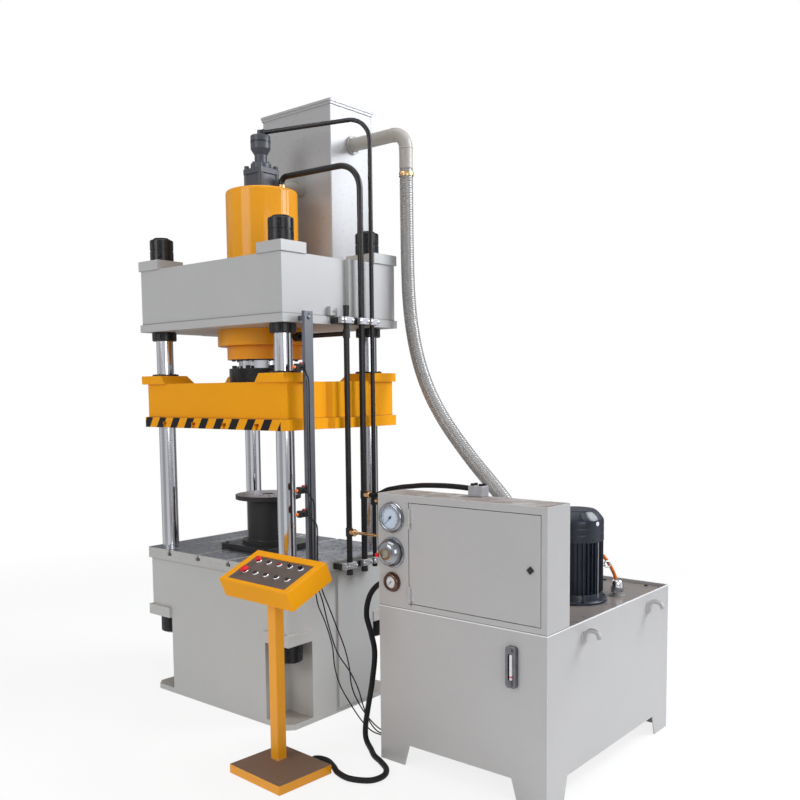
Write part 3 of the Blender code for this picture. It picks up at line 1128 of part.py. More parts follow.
def make_motor(cover_top):
    seat = cover_top + SEAT_GAP
    centre = (MOTOR_X, MOTOR_Y)
    motor = place("motor_frame", prism_mesh(fin_outline(), MOTOR_BODY_BOTTOM, MOTOR_BODY_TOP), "motor_paint")
    join(motor, helper(turned_mesh([
        (0, MOTOR_BODY_BOTTOM + 0.004), (MOTOR_FIN_RADIUS, MOTOR_BODY_BOTTOM + 0.004), (MOTOR_FIN_RADIUS, seat + MOTOR_FLANGE_HEIGHT + 0.004),
        (MOTOR_FLANGE_RADIUS, seat + MOTOR_FLANGE_HEIGHT), (MOTOR_FLANGE_RADIUS, seat), (0, seat),
    ], centre=centre)))
    for x, y in around(4, MOTOR_FLANGE_RADIUS - 0.010, math.radians(45)):
        join(motor, helper(rod_mesh(0.008, seat + MOTOR_FLANGE_HEIGHT - BITE, seat + MOTOR_FLANGE_HEIGHT + 0.008, centre=(MOTOR_X + x, MOTOR_Y + y), steps=6)))
    box_y = MOTOR_Y + MOTOR_BODY_RADIUS - 0.012
    join(motor, helper(box_mesh(
        (MOTOR_X - TERMINAL_WIDTH / 2, MOTOR_X + TERMINAL_WIDTH / 2), (box_y, MOTOR_Y + TERMINAL_OUT), (TERMINAL_BOTTOM, TERMINAL_TOP), bevel=0.004,
    )))
    cut(motor, helper(rod_mesh(MOTOR_BORE, MOTOR_BODY_BOTTOM + 0.010, MOTOR_BODY_TOP + BITE, centre=centre)))
    cut(motor, helper(rod_mesh(SHAFT_RADIUS + SLIDE_CLEARANCE, seat - BITE, MOTOR_BODY_BOTTOM + 0.012, centre=centre, steps=ROUND_STEPS)))

    low = MOTOR_BODY_TOP + SEAT_GAP
    shoulder = COWL_TOP - COWL_CHAMFER
    cowl = place("fan_cowl", turned_mesh([
        (0, COWL_TOP), (COWL_TOP_RADIUS, COWL_TOP), (COWL_RADIUS, shoulder), (COWL_RADIUS, low),
        (COWL_RADIUS - COWL_WALL, low), (COWL_RADIUS - COWL_WALL, shoulder - 0.002),
        (COWL_TOP_RADIUS - 0.002, COWL_TOP - COWL_WALL), (0, COWL_TOP - COWL_WALL),
    ], centre=centre), "motor_paint")
    for x, y in around(COWL_HOLE_COUNT, COWL_TOP_RADIUS * 0.62):
        hole = (MOTOR_X + x, MOTOR_Y + y)
        cut(cowl, helper(rod_mesh(COWL_HOLE_RADIUS, COWL_TOP - 0.012, COWL_TOP + BITE, centre=hole, steps=BOLT_STEPS)))

    fan_low = MOTOR_BODY_TOP + 0.020
    rotor = place("motor_rotor", turned_mesh([
        (0, fan_low + FAN_HEIGHT + 0.01), (SHAFT_RADIUS, fan_low + FAN_HEIGHT + 0.01), (SHAFT_RADIUS, fan_low + 0.006),
        (FAN_RADIUS, fan_low + 0.006), (FAN_RADIUS, fan_low), (SHAFT_RADIUS, fan_low),
        (SHAFT_RADIUS, MOTOR_BODY_TOP - 0.030), (MOTOR_BORE - 0.002, MOTOR_BODY_TOP - 0.030),
        (MOTOR_BORE - 0.002, MOTOR_BODY_BOTTOM + 0.035), (SHAFT_RADIUS, MOTOR_BODY_BOTTOM + 0.035),
        (SHAFT_RADIUS, COVER_Z - 0.040), (0, COVER_Z - 0.040),
    ]), "machined_steel", origin=(MOTOR_X, MOTOR_Y, 0))
    for i in range(FAN_BLADES):
        blade = helper(box_mesh((SHAFT_RADIUS - BITE, FAN_RADIUS - 0.004), (-0.002, 0.002), (fan_low + 0.004, fan_low + FAN_HEIGHT)), origin=(MOTOR_X, MOTOR_Y, 0))
        blade.rotation_euler = (0, 0, 2 * math.pi * i / FAN_BLADES)
        join(rotor, blade)


def make_filler(cover_top):
    low = cover_top + SEAT_GAP
    neck = low + FILLER_NECK_HEIGHT
    top = neck + FILLER_HEIGHT
    cap = place("filler_cap", turned_mesh([
        (0, top), (FILLER_RADIUS * 0.55, top - 0.002), (FILLER_RADIUS * 0.9, top - 0.012), (FILLER_RADIUS, top - 0.028),
        (FILLER_RADIUS, neck), (FILLER_NECK_RADIUS, neck), (FILLER_NECK_RADIUS, low), (0, low),
    ], steps=ROUND_STEPS), "hard_chrome", origin=(FILLER_X, FILLER_Y, 0))
    return cap


def make_pedestal():
    stand = bpy.data.objects.new("pedestal_axis", None)
    press.objects.link(stand)
    stand.location = (PEDESTAL_X, PEDESTAL_Y, 0)
    stand.rotation_euler = (0, 0, PEDESTAL_TURN)
    panel_axis = bpy.data.objects.new("console_axis", None)
    press.objects.link(panel_axis)
    panel_axis.parent = stand
    half_l = CONSOLE_LENGTH / 2
    top_mid = Vector((
        CONSOLE_X, CONSOLE_FRONT_Y + half_l * math.cos(CONSOLE_TILT), CONSOLE_FRONT_Z + half_l * math.sin(CONSOLE_TILT),
    ))
    panel_axis.location = top_mid
    panel_axis.rotation_euler = (CONSOLE_TILT, 0, 0)
    bpy.context.view_layer.update()

    w, d = BASE_WIDTH / 2, BASE_DEPTH / 2
    base = place("pedestal", box_mesh((-w, w), (-d, d), (0, BASE_HEIGHT), bevel=0.002), "yellow_paint", parent=stand)

    def under_console(y):
        """Height of the console's underside above a point of the stand."""
        along = (y - top_mid.y) + CONSOLE_HEIGHT * -math.sin(CONSOLE_TILT)
        return top_mid.z + along * math.tan(CONSOLE_TILT) - CONSOLE_HEIGHT * math.cos(CONSOLE_TILT)

    gap = SEAT_GAP / math.cos(CONSOLE_TILT)
    y0, y1 = POST_Y - POST_HALF, POST_Y + POST_HALF
    side = [(y0, BASE_HEIGHT - BITE), (y1, BASE_HEIGHT - BITE), (y1, under_console(y1) - gap), (y0, under_console(y0) - gap)]
    join(base, helper(prism_mesh(side, POST_X - POST_HALF, POST_X + POST_HALF, axis="X"), parent=stand))

    half_w = CONSOLE_WIDTH / 2
    console = place("console_box", box_mesh((-half_w, half_w), (-half_l, half_l), (-CONSOLE_HEIGHT, 0), bevel=0.002), "yellow_paint", parent=panel_axis)
    cut(console, helper(box_mesh(
        (-half_w + PANEL_MARGIN_X, half_w - PANEL_MARGIN_X), (-half_l + PANEL_MARGIN_FRONT, half_l - PANEL_MARGIN_REAR), (-PANEL_RECESS, BITE),
    ), parent=panel_axis))
    names = {
        (0, 0): "emergency_stop", (0, 1): "press_button", (0, 2): "return_button", (0, 3): "inch_down_button", (0, 4): "inch_up_button",
        (1, 0): "pump_stop", (1, 1): "pump_start", (1, 2): "halt_button", (1, 3): "mode_selector", (1, 4): "cushion_selector",
    }
    hole_bottom = -PANEL_RECESS - BUTTON_STEM - BUTTON_TRAVEL - 0.002
    bezel_top = -PANEL_RECESS + BEZEL_HEIGHT
    for (row, column), name in names.items():
        x, y = (column - 2) * BUTTON_PITCH, BUTTON_ROWS[row]
        join(console, helper(rod_mesh(BEZEL_RADIUS, -PANEL_RECESS - BITE, bezel_top, centre=(x, y), steps=ROUND_STEPS), parent=panel_axis))
        cut(console, helper(rod_mesh(BUTTON_HOLE, hole_bottom, bezel_top + BITE, centre=(x, y), steps=ROUND_STEPS), parent=panel_axis))
        stem = BUTTON_HOLE - BUTTON_CLEARANCE
        low = -BUTTON_STEM
        lift = BUTTON_TRAVEL + 0.002
        if "selector" in name:
            button = place(name, rod_mesh(stem, low, BEZEL_HEIGHT + 0.001, steps=ROUND_STEPS), "black_plastic", parent=panel_axis, origin=(x, y, -PANEL_RECESS))
            grip = box_mesh((-SELECTOR_HALF_WIDTH, SELECTOR_HALF_WIDTH), (-stem + 0.001, stem + 0.003), (BEZEL_HEIGHT + SEAT_GAP, BEZEL_HEIGHT + SELECTOR_HEIGHT), bevel=0.001)
            lever = helper(grip, origin=(x, y, -PANEL_RECESS), parent=panel_axis)
            lever.rotation_euler = (0, 0, math.radians(0 if column == 4 else 30))
            join(button, lever)
        elif name in ("emergency_stop", "pump_stop"):
            radius = MUSHROOM_RADIUS if name == "emergency_stop" else SMALL_MUSHROOM_RADIUS
            under = BEZEL_HEIGHT + lift
            place(name, turned_mesh([
                (0, under + 0.014), (radius * 0.6, under + 0.013), (radius * 0.92, under + 0.008), (radius, under + 0.003),
                (radius, under), (stem, under), (stem, low), (0, low),
            ], steps=ROUND_STEPS), "red_plastic", parent=panel_axis, origin=(x, y, -PANEL_RECESS))
        else:
            place(name, turned_mesh([
                (0, BEZEL_HEIGHT + lift - 0.001), (stem - 0.001, BEZEL_HEIGHT + lift - 0.001), (stem, BEZEL_HEIGHT + lift - 0.002), (stem, low), (0, low),
            ], steps=ROUND_STEPS), "black_plastic", parent=panel_axis, origin=(x, y, -PANEL_RECESS))
    return stand


def make_cords(cover_top):
    """Free hoses and cables; each route is a smooth curve through points chosen from the photograph."""
    routes = {
        "clear_hose": (HOSE_RADIUS, 2, 3, "clear_hose", CLEAR_HOSE_ROUTE),
        "top_hose": (TOP_HOSE_RADIUS, 2, 2, "black_rubber", TOP_HOSE_ROUTE),
        "control_conduit": (CONDUIT_RADIUS, 2, 2, "black_rubber", CONDUIT_ROUTE),
        "motor_cable": (MOTOR_CABLE_RADIUS, 2, 2, "orange_plastic", MOTOR_CABLE_ROUTE),
        "upper_switch_lead": (LEAD_RADIUS, 1, 2, "black_rubber", UPPER_LEAD_ROUTE),
        "middle_switch_lead": (LEAD_RADIUS, 1, 2, "black_rubber", MIDDLE_LEAD_ROUTE),
        "lower_switch_lead": (LEAD_RADIUS, 1, 2, "black_rubber", LOWER_LEAD_ROUTE),
    }
    for name, (radius, steps, roundness, finish, route) in routes.items():
        place(name, tube_mesh(smooth(route, steps), radius, roundness), finish)


def smooth(points, steps):
    """A Catmull-Rom curve through the points, with steps pieces between each two and straight ends."""
    inner = [Vector(p) for p in points]
    inner.insert(1, (inner[0] + inner[1]) / 2)
    inner.insert(-1, (inner[-2] + inner[-1]) / 2)
    ends = [inner[0] * 2 - inner[1]] + inner + [inner[-1] * 2 - inner[-2]]
    found = []
    for a, b, c, d in zip(ends, ends[1:], ends[2:], ends[3:]):
        for i in range(steps):
            t = i / steps
            found.append(0.5 * (
                2 * b + (c - a) * t + (2 * a - 5 * b + 4 * c - d) * t * t + (3 * b - a - 3 * c + d) * t ** 3
            ))
    found.append(Vector(points[-1]))
    return found


# Routes of the free hoses and cables
TOP_HOSE_RADIUS = 0.0125
CONDUIT_RADIUS = 0.0135
MOTOR_CABLE_RADIUS = 0.0085
LEAD_RADIUS = 0.0032
CLEAR_HOSE_ROUTE = [
    (FILL_DROP_X, FILL_Y, FILL_END_Z - SEAT_GAP), (FILL_DROP_X + 0.001, FILL_Y, 2.72), (0.659, 0.440, 2.55), (0.661, 0.440, 2.38),
    (0.668, 0.438, 2.22), (0.682, 0.434, 2.10), (0.705, 0.427, 1.99), (0.740, 0.416, 1.88),
    (0.785, 0.402, 1.78), (0.845, 0.384, 1.68), (0.915, 0.364, 1.59), (1.000, 0.340, 1.50),
    (1.100, 0.312, 1.41), (1.205, 0.280, 1.325), (1.315, 0.245, 1.245), (1.420, 0.212, 1.165),
    (1.500, 0.188, 1.085), (1.560, 0.173, 0.995), (1.592, 0.166, 0.895),
    (HOSE_PORT_X, HOSE_PORT_Y, 0.800), (HOSE_PORT_X, HOSE_PORT_Y, COVER_Z + COVER_THICKNESS + HOSE_PORT_HEIGHT + SEAT_GAP),
]
TOP_HOSE_ROUTE = [
    (PIPE_X + 0.0463, RETURN_PIPE_Y, RETURN_BRANCH_Z), (0.702, RETURN_PIPE_Y, RETURN_BRANCH_Z), (0.748, 0.095, 1.164),
    (0.805, 0.081, 1.186), (0.870, 0.062, 1.200), (0.940, 0.038, 1.213), (1.020, 0.010, 1.224),
    (1.100, -0.015, 1.235), (1.190, -0.040, 1.243), (1.280, -0.058, 1.248), (1.370, -0.072, 1.249),
    (1.450, -0.084, 1.247), (1.505, -0.097, 1.246), (1.534, -0.113, 1.249), (1.542, -0.134, 1.254),
    (1.542, TANK_FRONT + CABINET_DEPTH + SEAT_GAP, 1.254),
]
CONDUIT_ROUTE = [
    (TANK_LEFT - SEAT_GAP, -0.250, 0.800), (1.072, -0.250, 0.800), (1.027, -0.256, 0.787), (0.980, -0.266, 0.728),
    (0.962, -0.270, 0.636), (0.990, -0.270, 0.549), (1.010, -0.270, 0.459), (0.992, -0.270, 0.318),
    (0.962, -0.268, 0.185), (0.940, -0.262, 0.095), (0.938, -0.262, 0.040), (0.965, -0.278, 0.0145),
    (1.020, -0.318, 0.0142), (1.085, -0.368, 0.0142), (1.155, -0.402, 0.0142), (1.225, -0.448, 0.0142),
    (1.258, -0.510, 0.0142), (1.240, -0.578, 0.0142), (1.160, -0.618, 0.0142), (1.080, -0.606, 0.0142),
    (1.020, -0.572, 0.0142), (0.962, -0.545, 0.0142), (0.918, -0.546, 0.0150), (0.900, -0.566, 0.0180),
    (0.899, -0.5965, 0.0180),
]
MOTOR_CABLE_ROUTE = [
    (1.735, MOTOR_Y + TERMINAL_OUT + SEAT_GAP, 0.905), (1.735, 0.532, 0.905), (1.755, 0.545, 0.893), (1.772, 0.562, 0.868),
    (1.788, 0.577, 0.834), (1.802, 0.590, 0.796), (1.812, 0.600, 0.756), (1.816, 0.604, 0.728),
    (1.817, 0.605, 0.7050),
]
UPPER_LEAD_ROUTE = [(0, 0, 0)]
MIDDLE_LEAD_ROUTE = [(0, 0, 0)]
LOWER_LEAD_ROUTE = [(0, 0, 0)]


def lead_route(start_z, lane, hang):
    """A switch's lead: out of its switch, down the bar's right side, then free to the floor bundle."""
    start_y = BAR_FRONT - SWITCH_LENGTH + 0.030
    side_x = BAR_X + BAR_WIDTH + 0.008 + 0.008 * lane
    bar_y = BAR_FRONT + 0.012 + 0.012 * lane
    route = [
        (BAR_X + BAR_WIDTH / 2 + SWITCH_WIDTH / 2 - 0.006 + SEAT_GAP, start_y, start_z),
        (BAR_X + BAR_WIDTH / 2 + SWITCH_WIDTH / 2 + 0.004, start_y, start_z),
        (side_x + 0.004, start_y + 0.006, start_z - 0.014),
        (side_x + 0.003, (start_y + bar_y) / 2, start_z - 0.036),
        (side_x, bar_y, start_z - 0.070),
    ]
    level = start_z - 0.070
    while level > 0.84:
        level -= 0.11
        route.append((side_x, bar_y, max(level, 0.80)))
    return route + hang


def main():
    global UPPER_LEAD_ROUTE, MIDDLE_LEAD_ROUTE, LOWER_LEAD_ROUTE
    clear_scene()
    table_top = make_bed()
    for name, x, y in (
        ("column_front_left", -COLUMN_X, -COLUMN_Y), ("column_front_right", COLUMN_X, -COLUMN_Y),
        ("column_rear_left", -COLUMN_X, COLUMN_Y), ("column_rear_right", COLUMN_X, COLUMN_Y),
    ):
        make_column(name, x, y)
    crosshead_side = make_crosshead()
    make_slide()
    make_cylinder_and_ram()
    make_prefill_valve()
    make_head_tank()
    make_pipes()
    make_clamp("pipe_clamp_upper", UPPER_CLAMP_Z, CROSSHEAD_HALF_WIDTH + CROSSHEAD_LIP + SEAT_GAP, crosshead_side + SEAT_GAP)
    bed_side = BED_HALF_WIDTH + TABLE_OVERHANG + SEAT_GAP
    make_clamp("pipe_clamp_lower", LOWER_CLAMP_Z, bed_side, bed_side)
    make_switch_bar()
    make_die(table_top)
    cover_top = make_tank()
    make_cabinet()
    make_gauges()
    make_level_gauge()
    make_motor(cover_top)
    make_filler(cover_top)
    make_pedestal()
    UPPER_LEAD_ROUTE = lead_route(SWITCH_HEIGHTS["upper_switch"], 0, UPPER_LEAD_HANG)
    MIDDLE_LEAD_ROUTE = lead_route(SWITCH_HEIGHTS["middle_switch"], 1, MIDDLE_LEAD_HANG)
    LOWER_LEAD_ROUTE = lead_route(SWITCH_HEIGHTS["lower_switch"], 2, LOWER_LEAD_HANG)
    make_cords(cover_top)


UPPER_LEAD_HANG = [
    (0.650, -0.302, 0.740), (0.656, -0.299, 0.700), (0.667, -0.291, 0.632), (0.700, -0.280, 0.556),
    (0.727, -0.262, 0.440), (0.728, -0.248, 0.330), (0.745, -0.228, 0.235), (0.785, -0.204, 0.150),
    (0.835, -0.180, 0.070), (0.885, -0.160, 0.020), (0.940, -0.142, 0.0050), (1.000, -0.128, 0.0045),
    (1.045, -0.122, 0.030), (1.062, -0.120, 0.085), (1.078, -0.120, 0.130), (TANK_LEFT - SEAT_GAP, -0.120, 0.130),
]
MIDDLE_LEAD_HANG = [
    (0.664, -0.285, 0.720), (0.668, -0.262, 0.650), (0.690, -0.250, 0.540), (0.742, -0.245, 0.410),
    (0.818, -0.232, 0.318), (0.846, -0.205, 0.228), (0.858, -0.188, 0.150), (0.880, -0.168, 0.070),
    (0.915, -0.145, 0.018), (0.965, -0.120, 0.0050), (1.010, -0.104, 0.0045), (1.048, -0.098, 0.034),
    (1.064, -0.096, 0.088), (1.078, -0.096, 0.130), (TANK_LEFT - SEAT_GAP, -0.096, 0.130),
]
LOWER_LEAD_HANG = [
    (0.672, -0.268, 0.710), (0.690, -0.240, 0.620), (0.716, -0.215, 0.520), (0.752, -0.200, 0.420),
    (0.786, -0.205, 0.330), (0.800, -0.208, 0.250), (0.820, -0.196, 0.180), (0.862, -0.172, 0.100),
    (0.905, -0.130, 0.030), (0.955, -0.098, 0.0050), (1.008, -0.080, 0.0045), (1.048, -0.074, 0.038),
    (1.064, -0.072, 0.090), (1.078, -0.072, 0.130), (TANK_LEFT - SEAT_GAP, -0.072, 0.130),
]

main()
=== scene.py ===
import math
import bmesh
import bpy
import numpy as np
from mathutils import Matrix, Vector


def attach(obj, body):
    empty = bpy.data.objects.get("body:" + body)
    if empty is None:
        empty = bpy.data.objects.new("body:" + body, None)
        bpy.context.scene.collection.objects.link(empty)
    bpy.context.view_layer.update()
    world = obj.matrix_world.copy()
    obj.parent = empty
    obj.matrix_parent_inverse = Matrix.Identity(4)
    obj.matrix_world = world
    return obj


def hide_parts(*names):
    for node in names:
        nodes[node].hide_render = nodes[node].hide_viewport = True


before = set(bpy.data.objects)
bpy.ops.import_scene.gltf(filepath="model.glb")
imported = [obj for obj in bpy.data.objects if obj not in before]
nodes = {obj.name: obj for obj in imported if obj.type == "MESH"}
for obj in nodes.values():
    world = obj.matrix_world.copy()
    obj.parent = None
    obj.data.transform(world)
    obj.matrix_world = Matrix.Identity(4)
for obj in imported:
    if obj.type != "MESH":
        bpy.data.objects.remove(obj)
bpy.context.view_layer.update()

scene = bpy.context.scene
print("press: frame loaded with", len(nodes), "CAD nodes")

# Camera at the photograph's place and angle
cameraView = {
    "place": (3.6996, -3.3572, 1.70), "yaw": 40.094, "pitch": -4.797, "roll": -0.647,
    "lens": 40.016, "shiftX": 0.01589, "shiftY": 0.07865,
}


def makeCamera():
    yaw, pitch, roll = (math.radians(cameraView[k]) for k in ("yaw", "pitch", "roll"))
    ahead = Vector((-math.sin(yaw) * math.cos(pitch), math.cos(yaw) * math.cos(pitch), math.sin(pitch)))
    right = Vector((math.cos(yaw), math.sin(yaw), 0))
    up = right.cross(ahead)
    right, up = math.cos(roll) * right + math.sin(roll) * up, math.cos(roll) * up - math.sin(roll) * right
    data = bpy.data.cameras.new("photoCamera")
    data.sensor_width, data.lens = 36, cameraView["lens"]
    data.shift_x, data.shift_y = cameraView["shiftX"], cameraView["shiftY"]
    data.clip_end = 100
    obj = bpy.data.objects.new("photoCamera", data)
    scene.collection.objects.link(obj)
    turn = Matrix((right, up, -ahead)).transposed().to_4x4()
    obj.matrix_world = Matrix.Translation(cameraView["place"]) @ turn
    scene.camera = obj


makeCamera()


# Shapes: every shell is (points, quads, caps), worked out as whole arrays

def unit(vectors):
    return vectors / np.linalg.norm(vectors, axis=-1, keepdims=True)


def roundCorners(points, radius, steps=4, closed=True):
    # each corner becomes an arc that touches both of its sides; radius is one number or one per corner
    points = np.asarray(points, float)
    inner = points if closed else points[1:-1]
    before = np.roll(points, 1, 0) if closed else points[:-2]
    after = np.roll(points, -1, 0) if closed else points[2:]
    radii = np.broadcast_to(np.asarray(radius, float), len(inner))[:, None]
    toBefore, toAfter = unit(before - inner), unit(after - inner)
    half = np.arccos(np.clip((toBefore * toAfter).sum(1, keepdims=True), -1, 1)) / 2
    centre = inner + unit(toBefore + toAfter + 1e-12) * radii / np.sin(half)
    first = inner + toBefore * radii / np.tan(half) - centre
    last = inner + toAfter * radii / np.tan(half) - centre
    sweep = (math.pi - 2 * half)[:, None]
    part = np.linspace(0, 1, steps)[None, :, None]
    arcs = (np.sin((1 - part) * sweep) * first[:, None] + np.sin(part * sweep) * last[:, None]) / np.sin(sweep)
    arcs = (arcs + centre[:, None]).reshape(-1, points.shape[1])
    return arcs if closed else np.vstack([points[:1], arcs, points[-1:]])


def lofted(rings, cap=True):
    # a grid of rows (rings) and columns (points round each ring); the last column meets the first
    rings = np.asarray(rings, float)
    rows, columns = rings.shape[:2]
    row, column = np.arange(rows - 1)[:, None] * columns, np.arange(columns)[None, :]
    after = (column + 1) % columns
    quads = np.stack([row + column, row + after, row + columns + after, row + columns + column], -1).reshape(-1, 4)
    caps = [np.arange(columns)[::-1], np.arange(columns) + (rows - 1) * columns] if cap else []
    return rings.reshape(-1, 3), quads, caps


def joined(*shells):
    base, points, quads, caps = 0, [], [], []
    for p, q, c in shells:
        points.append(p)
        quads.append(q + base)
        caps += [cap + base for cap in c]
        base += len(p)
    return np.vstack(points), np.vstack(quads), caps


def moved(shell, matrix):
    spin = np.array(matrix.to_3x3())
    return shell[0] @ spin.T + np.array(matrix.translation), shell[1], shell[2]


def axesOf(axis):
    # two directions across the axis, then the axis itself
    if isinstance(axis, str):
        return {"x": np.eye(3)[[1, 2, 0]], "y": np.eye(3)[[2, 0, 1]], "z": np.eye(3)}[axis]
    along = unit(np.asarray(axis, float))
    across = np.cross(along, np.eye(3)[np.argmin(np.abs(along))])
    across = unit(across)
    return np.array([across, np.cross(along, across), along])


def easedProfile(points, ease, steps=4):
    # an open (radius, height) line with its corners rounded
    return roundCorners(points, ease, steps, closed=False) if ease else np.asarray(points, float)


def turned(profile, centre=(0, 0, 0), axis="z", around=32, ease=0.0, shape=None):
    # point(i, j) = centre + radius_i * shape(angle_j) * (cos, sin) across the axis + height_i along it
    profile = easedProfile(profile, ease)
    across, other, along = axesOf(axis)
    angle = np.linspace(0, 2 * math.pi, around, endpoint=False)
    scale = np.ones((len(profile), around)) if shape is None else shape(profile, angle)
    radius = profile[:, :1] * scale
    rings = (
        np.asarray(centre, float) + (radius * np.cos(angle))[..., None] * across
        + (radius * np.sin(angle))[..., None] * other + profile[:, 1][:, None, None] * along
    )
    hollow = profile[0, 0] == profile[-1, 0] and profile[0, 1] == profile[-1, 1]
    return lofted(rings, cap=not hollow and max(profile[0, 0], profile[-1, 0]) > 1e-9)


def turnedRod(radius, start, end, *place, **look):
    return turned([(0, start), (radius, start), (radius, end), (0, end)], *place, **look)


def turnedRing(inner, outer, start, end, *place, **look):
    # a ring of rectangular section
    return turned([(inner, start), (outer, start), (outer, end), (inner, end), (inner, start)], *place, **look)


def insets(outline):
    # the step that moves every side of the closed outline inwards by one
    side = np.roll(outline, -1, 0) - outline
    normal = unit(np.stack([-side[:, 1], side[:, 0]], 1))
    before = np.roll(normal, 1, 0)
    return (normal + before) / (1 + (normal * before).sum(1, keepdims=True))


def slab(outline, low, high, ease=0.002, corner=0.0, axis="z", steps=3, cornerSteps=4):
    # an outline carried up a profile whose two ends are quarter circles
    outline = np.asarray(outline, float)
    if corner:
        outline = roundCorners(outline, corner, cornerSteps)
    turn = np.linspace(0, math.pi / 2, steps + 1)
    inset = ease * (1 - np.sin(turn))
    rise = ease * (1 - np.cos(turn))
    inset, height = np.r_[inset, inset[::-1]], np.r_[low + rise, high - rise[::-1]]
    step = insets(outline)
    flat = outline[None] + inset[:, None, None] * step[None]
    across, other, along = axesOf(axis)
    rings = flat[..., :1] * across + flat[..., 1:] * other + height[:, None, None] * along
    return lofted(rings)


def rect(x0, x1, y0, y1):
    return [(x0, y0), (x1, y0), (x1, y1), (x0, y1)]


def block(x0, x1, y0, y1, z0, z1, ease=0.002, corner=None, axis="z"):
    corner = ease if corner is None else corner
    if axis == "z":
        return slab(rect(x0, x1, y0, y1), z0, z1, ease, corner)
    if axis == "y":
        return slab(rect(z0, z1, x0, x1), y0, y1, ease, corner, axis="y")
    return slab(rect(y0, y1, z0, z1), x0, x1, ease, corner, axis="x")


def carried(path):
    # a side direction goes along the path, each time made square to the way ahead
    ahead = unit(np.gradient(path, axis=0))
    side = np.empty_like(path)
    at = np.eye(3)[np.argmin(np.abs(ahead[0]))]
    for i, way in enumerate(ahead):
        at = at - way * (at @ way)
        at = at / np.linalg.norm(at)
        side[i] = at
    return side, np.cross(ahead, side)


def tube(path, radius, around=20):
    # point(i, j) = path_i + radius * (cos angle_j * side_i + sin angle_j * other_i); radius may be a grid
    path = np.asarray(path, float)
    side, other = carried(path)
    angle = np.linspace(0, 2 * math.pi, around, endpoint=False)
    radius = np.broadcast_to(
        np.asarray(radius, float).reshape(-1, 1) if np.ndim(radius) == 1 else radius, (len(path), around))
    rings = path[:, None] + radius[...,
        None] * (np.cos(angle)[:, None] * side[:, None] + np.sin(angle)[:, None] * other[:, None])
    return lofted(rings)


def route(corners, bend, steps=8):
    return roundCorners(corners, bend, steps, closed=False)


def smoothRoute(points, steps):
    # Catmull-Rom through the points, with straight ends; the same curve as the CAD tubes follow
    inner = np.asarray(points, float)
    inner = np.vstack([inner[:1], (inner[0] + inner[1]) / 2, inner[1:-1], (inner[-2] + inner[-1]) / 2, inner[-1:]])
    ends = np.vstack([inner[0] * 2 - inner[1], inner, inner[-1] * 2 - inner[-2]])
    a, b, c, d = (ends[i:len(ends) - 3 + i, None] for i in range(4))
    t = (np.arange(steps) / steps)[None, :, None]
    curve = 0.5 * (2 * b + (c - a) * t + (2 * a - 5 * b + 4 * c - d) * t ** 2 + (3 * b - a - 3 * c + d) * t ** 3)
    return np.vstack([curve.reshape(-1, 3), inner[-1:]])


def hexed(from_, to):
    # rings from row from_ to row to are six-sided, the rest stay round
    def shape(profile, angle):
        six = math.cos(math.pi / 6) / np.cos((angle + math.pi / 6) % (math.pi / 3) - math.pi / 6)
        rows = np.ones((len(profile), len(angle)))
        rows[from_:to] = six
        return rows
    return shape


def ringOf(count, radius, start=0.0, centre=(0, 0)):
    angle = start + 2 * math.pi * np.arange(count) / count
    return np.stack([centre[0] + radius * np.cos(angle), centre[1] + radius * np.sin(angle)], 1)


def socketScrew(at, radius, height, axis="z"):
    # a round head with a six-sided recess
    e, key = radius * 0.12, radius * 0.52
    profile = [
        (0, height * 0.45), (key, height * 0.45), (key, height), (radius - e, height),
        (radius, height - e), (radius, 0), (0, 0),
    ]
    return turned(profile, at, axis, 18, shape=hexed(1, 3))


def hexHead(at, radius, height, axis="z", washer=True):
    # a chamfered six-sided head on a round washer
    six = turned([(0, height), (radius * 0.72, height), (radius, height * 0.86), (radius, 0), (0, 0)], at,
        axis, 24, shape=hexed(2, 4))
    if not washer:
        return six
    return joined(six, turnedRod(radius * 1.22, height * 0.22, 0, at, axis, 24))


# Pieces

def addPiece(name, shell, material, body="frame", replaced=(), crisp=40, weighted=True, merge=True):
    mesh = bpy.data.meshes.new(name)
    points, quads, caps = shell
    mesh.from_pydata(points.tolist(), [], quads.tolist() + [cap.tolist() for cap in caps])
    bm = bmesh.new()
    bm.from_mesh(mesh)
    if merge:
        bmesh.ops.remove_doubles(bm, verts=bm.verts, dist=2e-6)
        bmesh.ops.recalc_face_normals(bm, faces=bm.faces)
    bm.to_mesh(mesh)
    bm.free()
    return place(name, mesh, material, body, replaced, crisp, weighted)


def place(name, mesh, material, body, replaced, crisp=40, weighted=True):
    obj = bpy.data.objects.new(name, mesh)
    scene.collection.objects.link(obj)
    mesh.shade_smooth()
    mesh.set_sharp_from_angle(angle=math.radians(crisp))
    mesh.materials.append(material)
    if weighted:
        flats = obj.modifiers.new("flatFacesFirst", "WEIGHTED_NORMAL")
        flats.keep_sharp = True
    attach(obj, body)
    if replaced:
        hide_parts(*((replaced,) if isinstance(replaced, str) else replaced))
    return obj


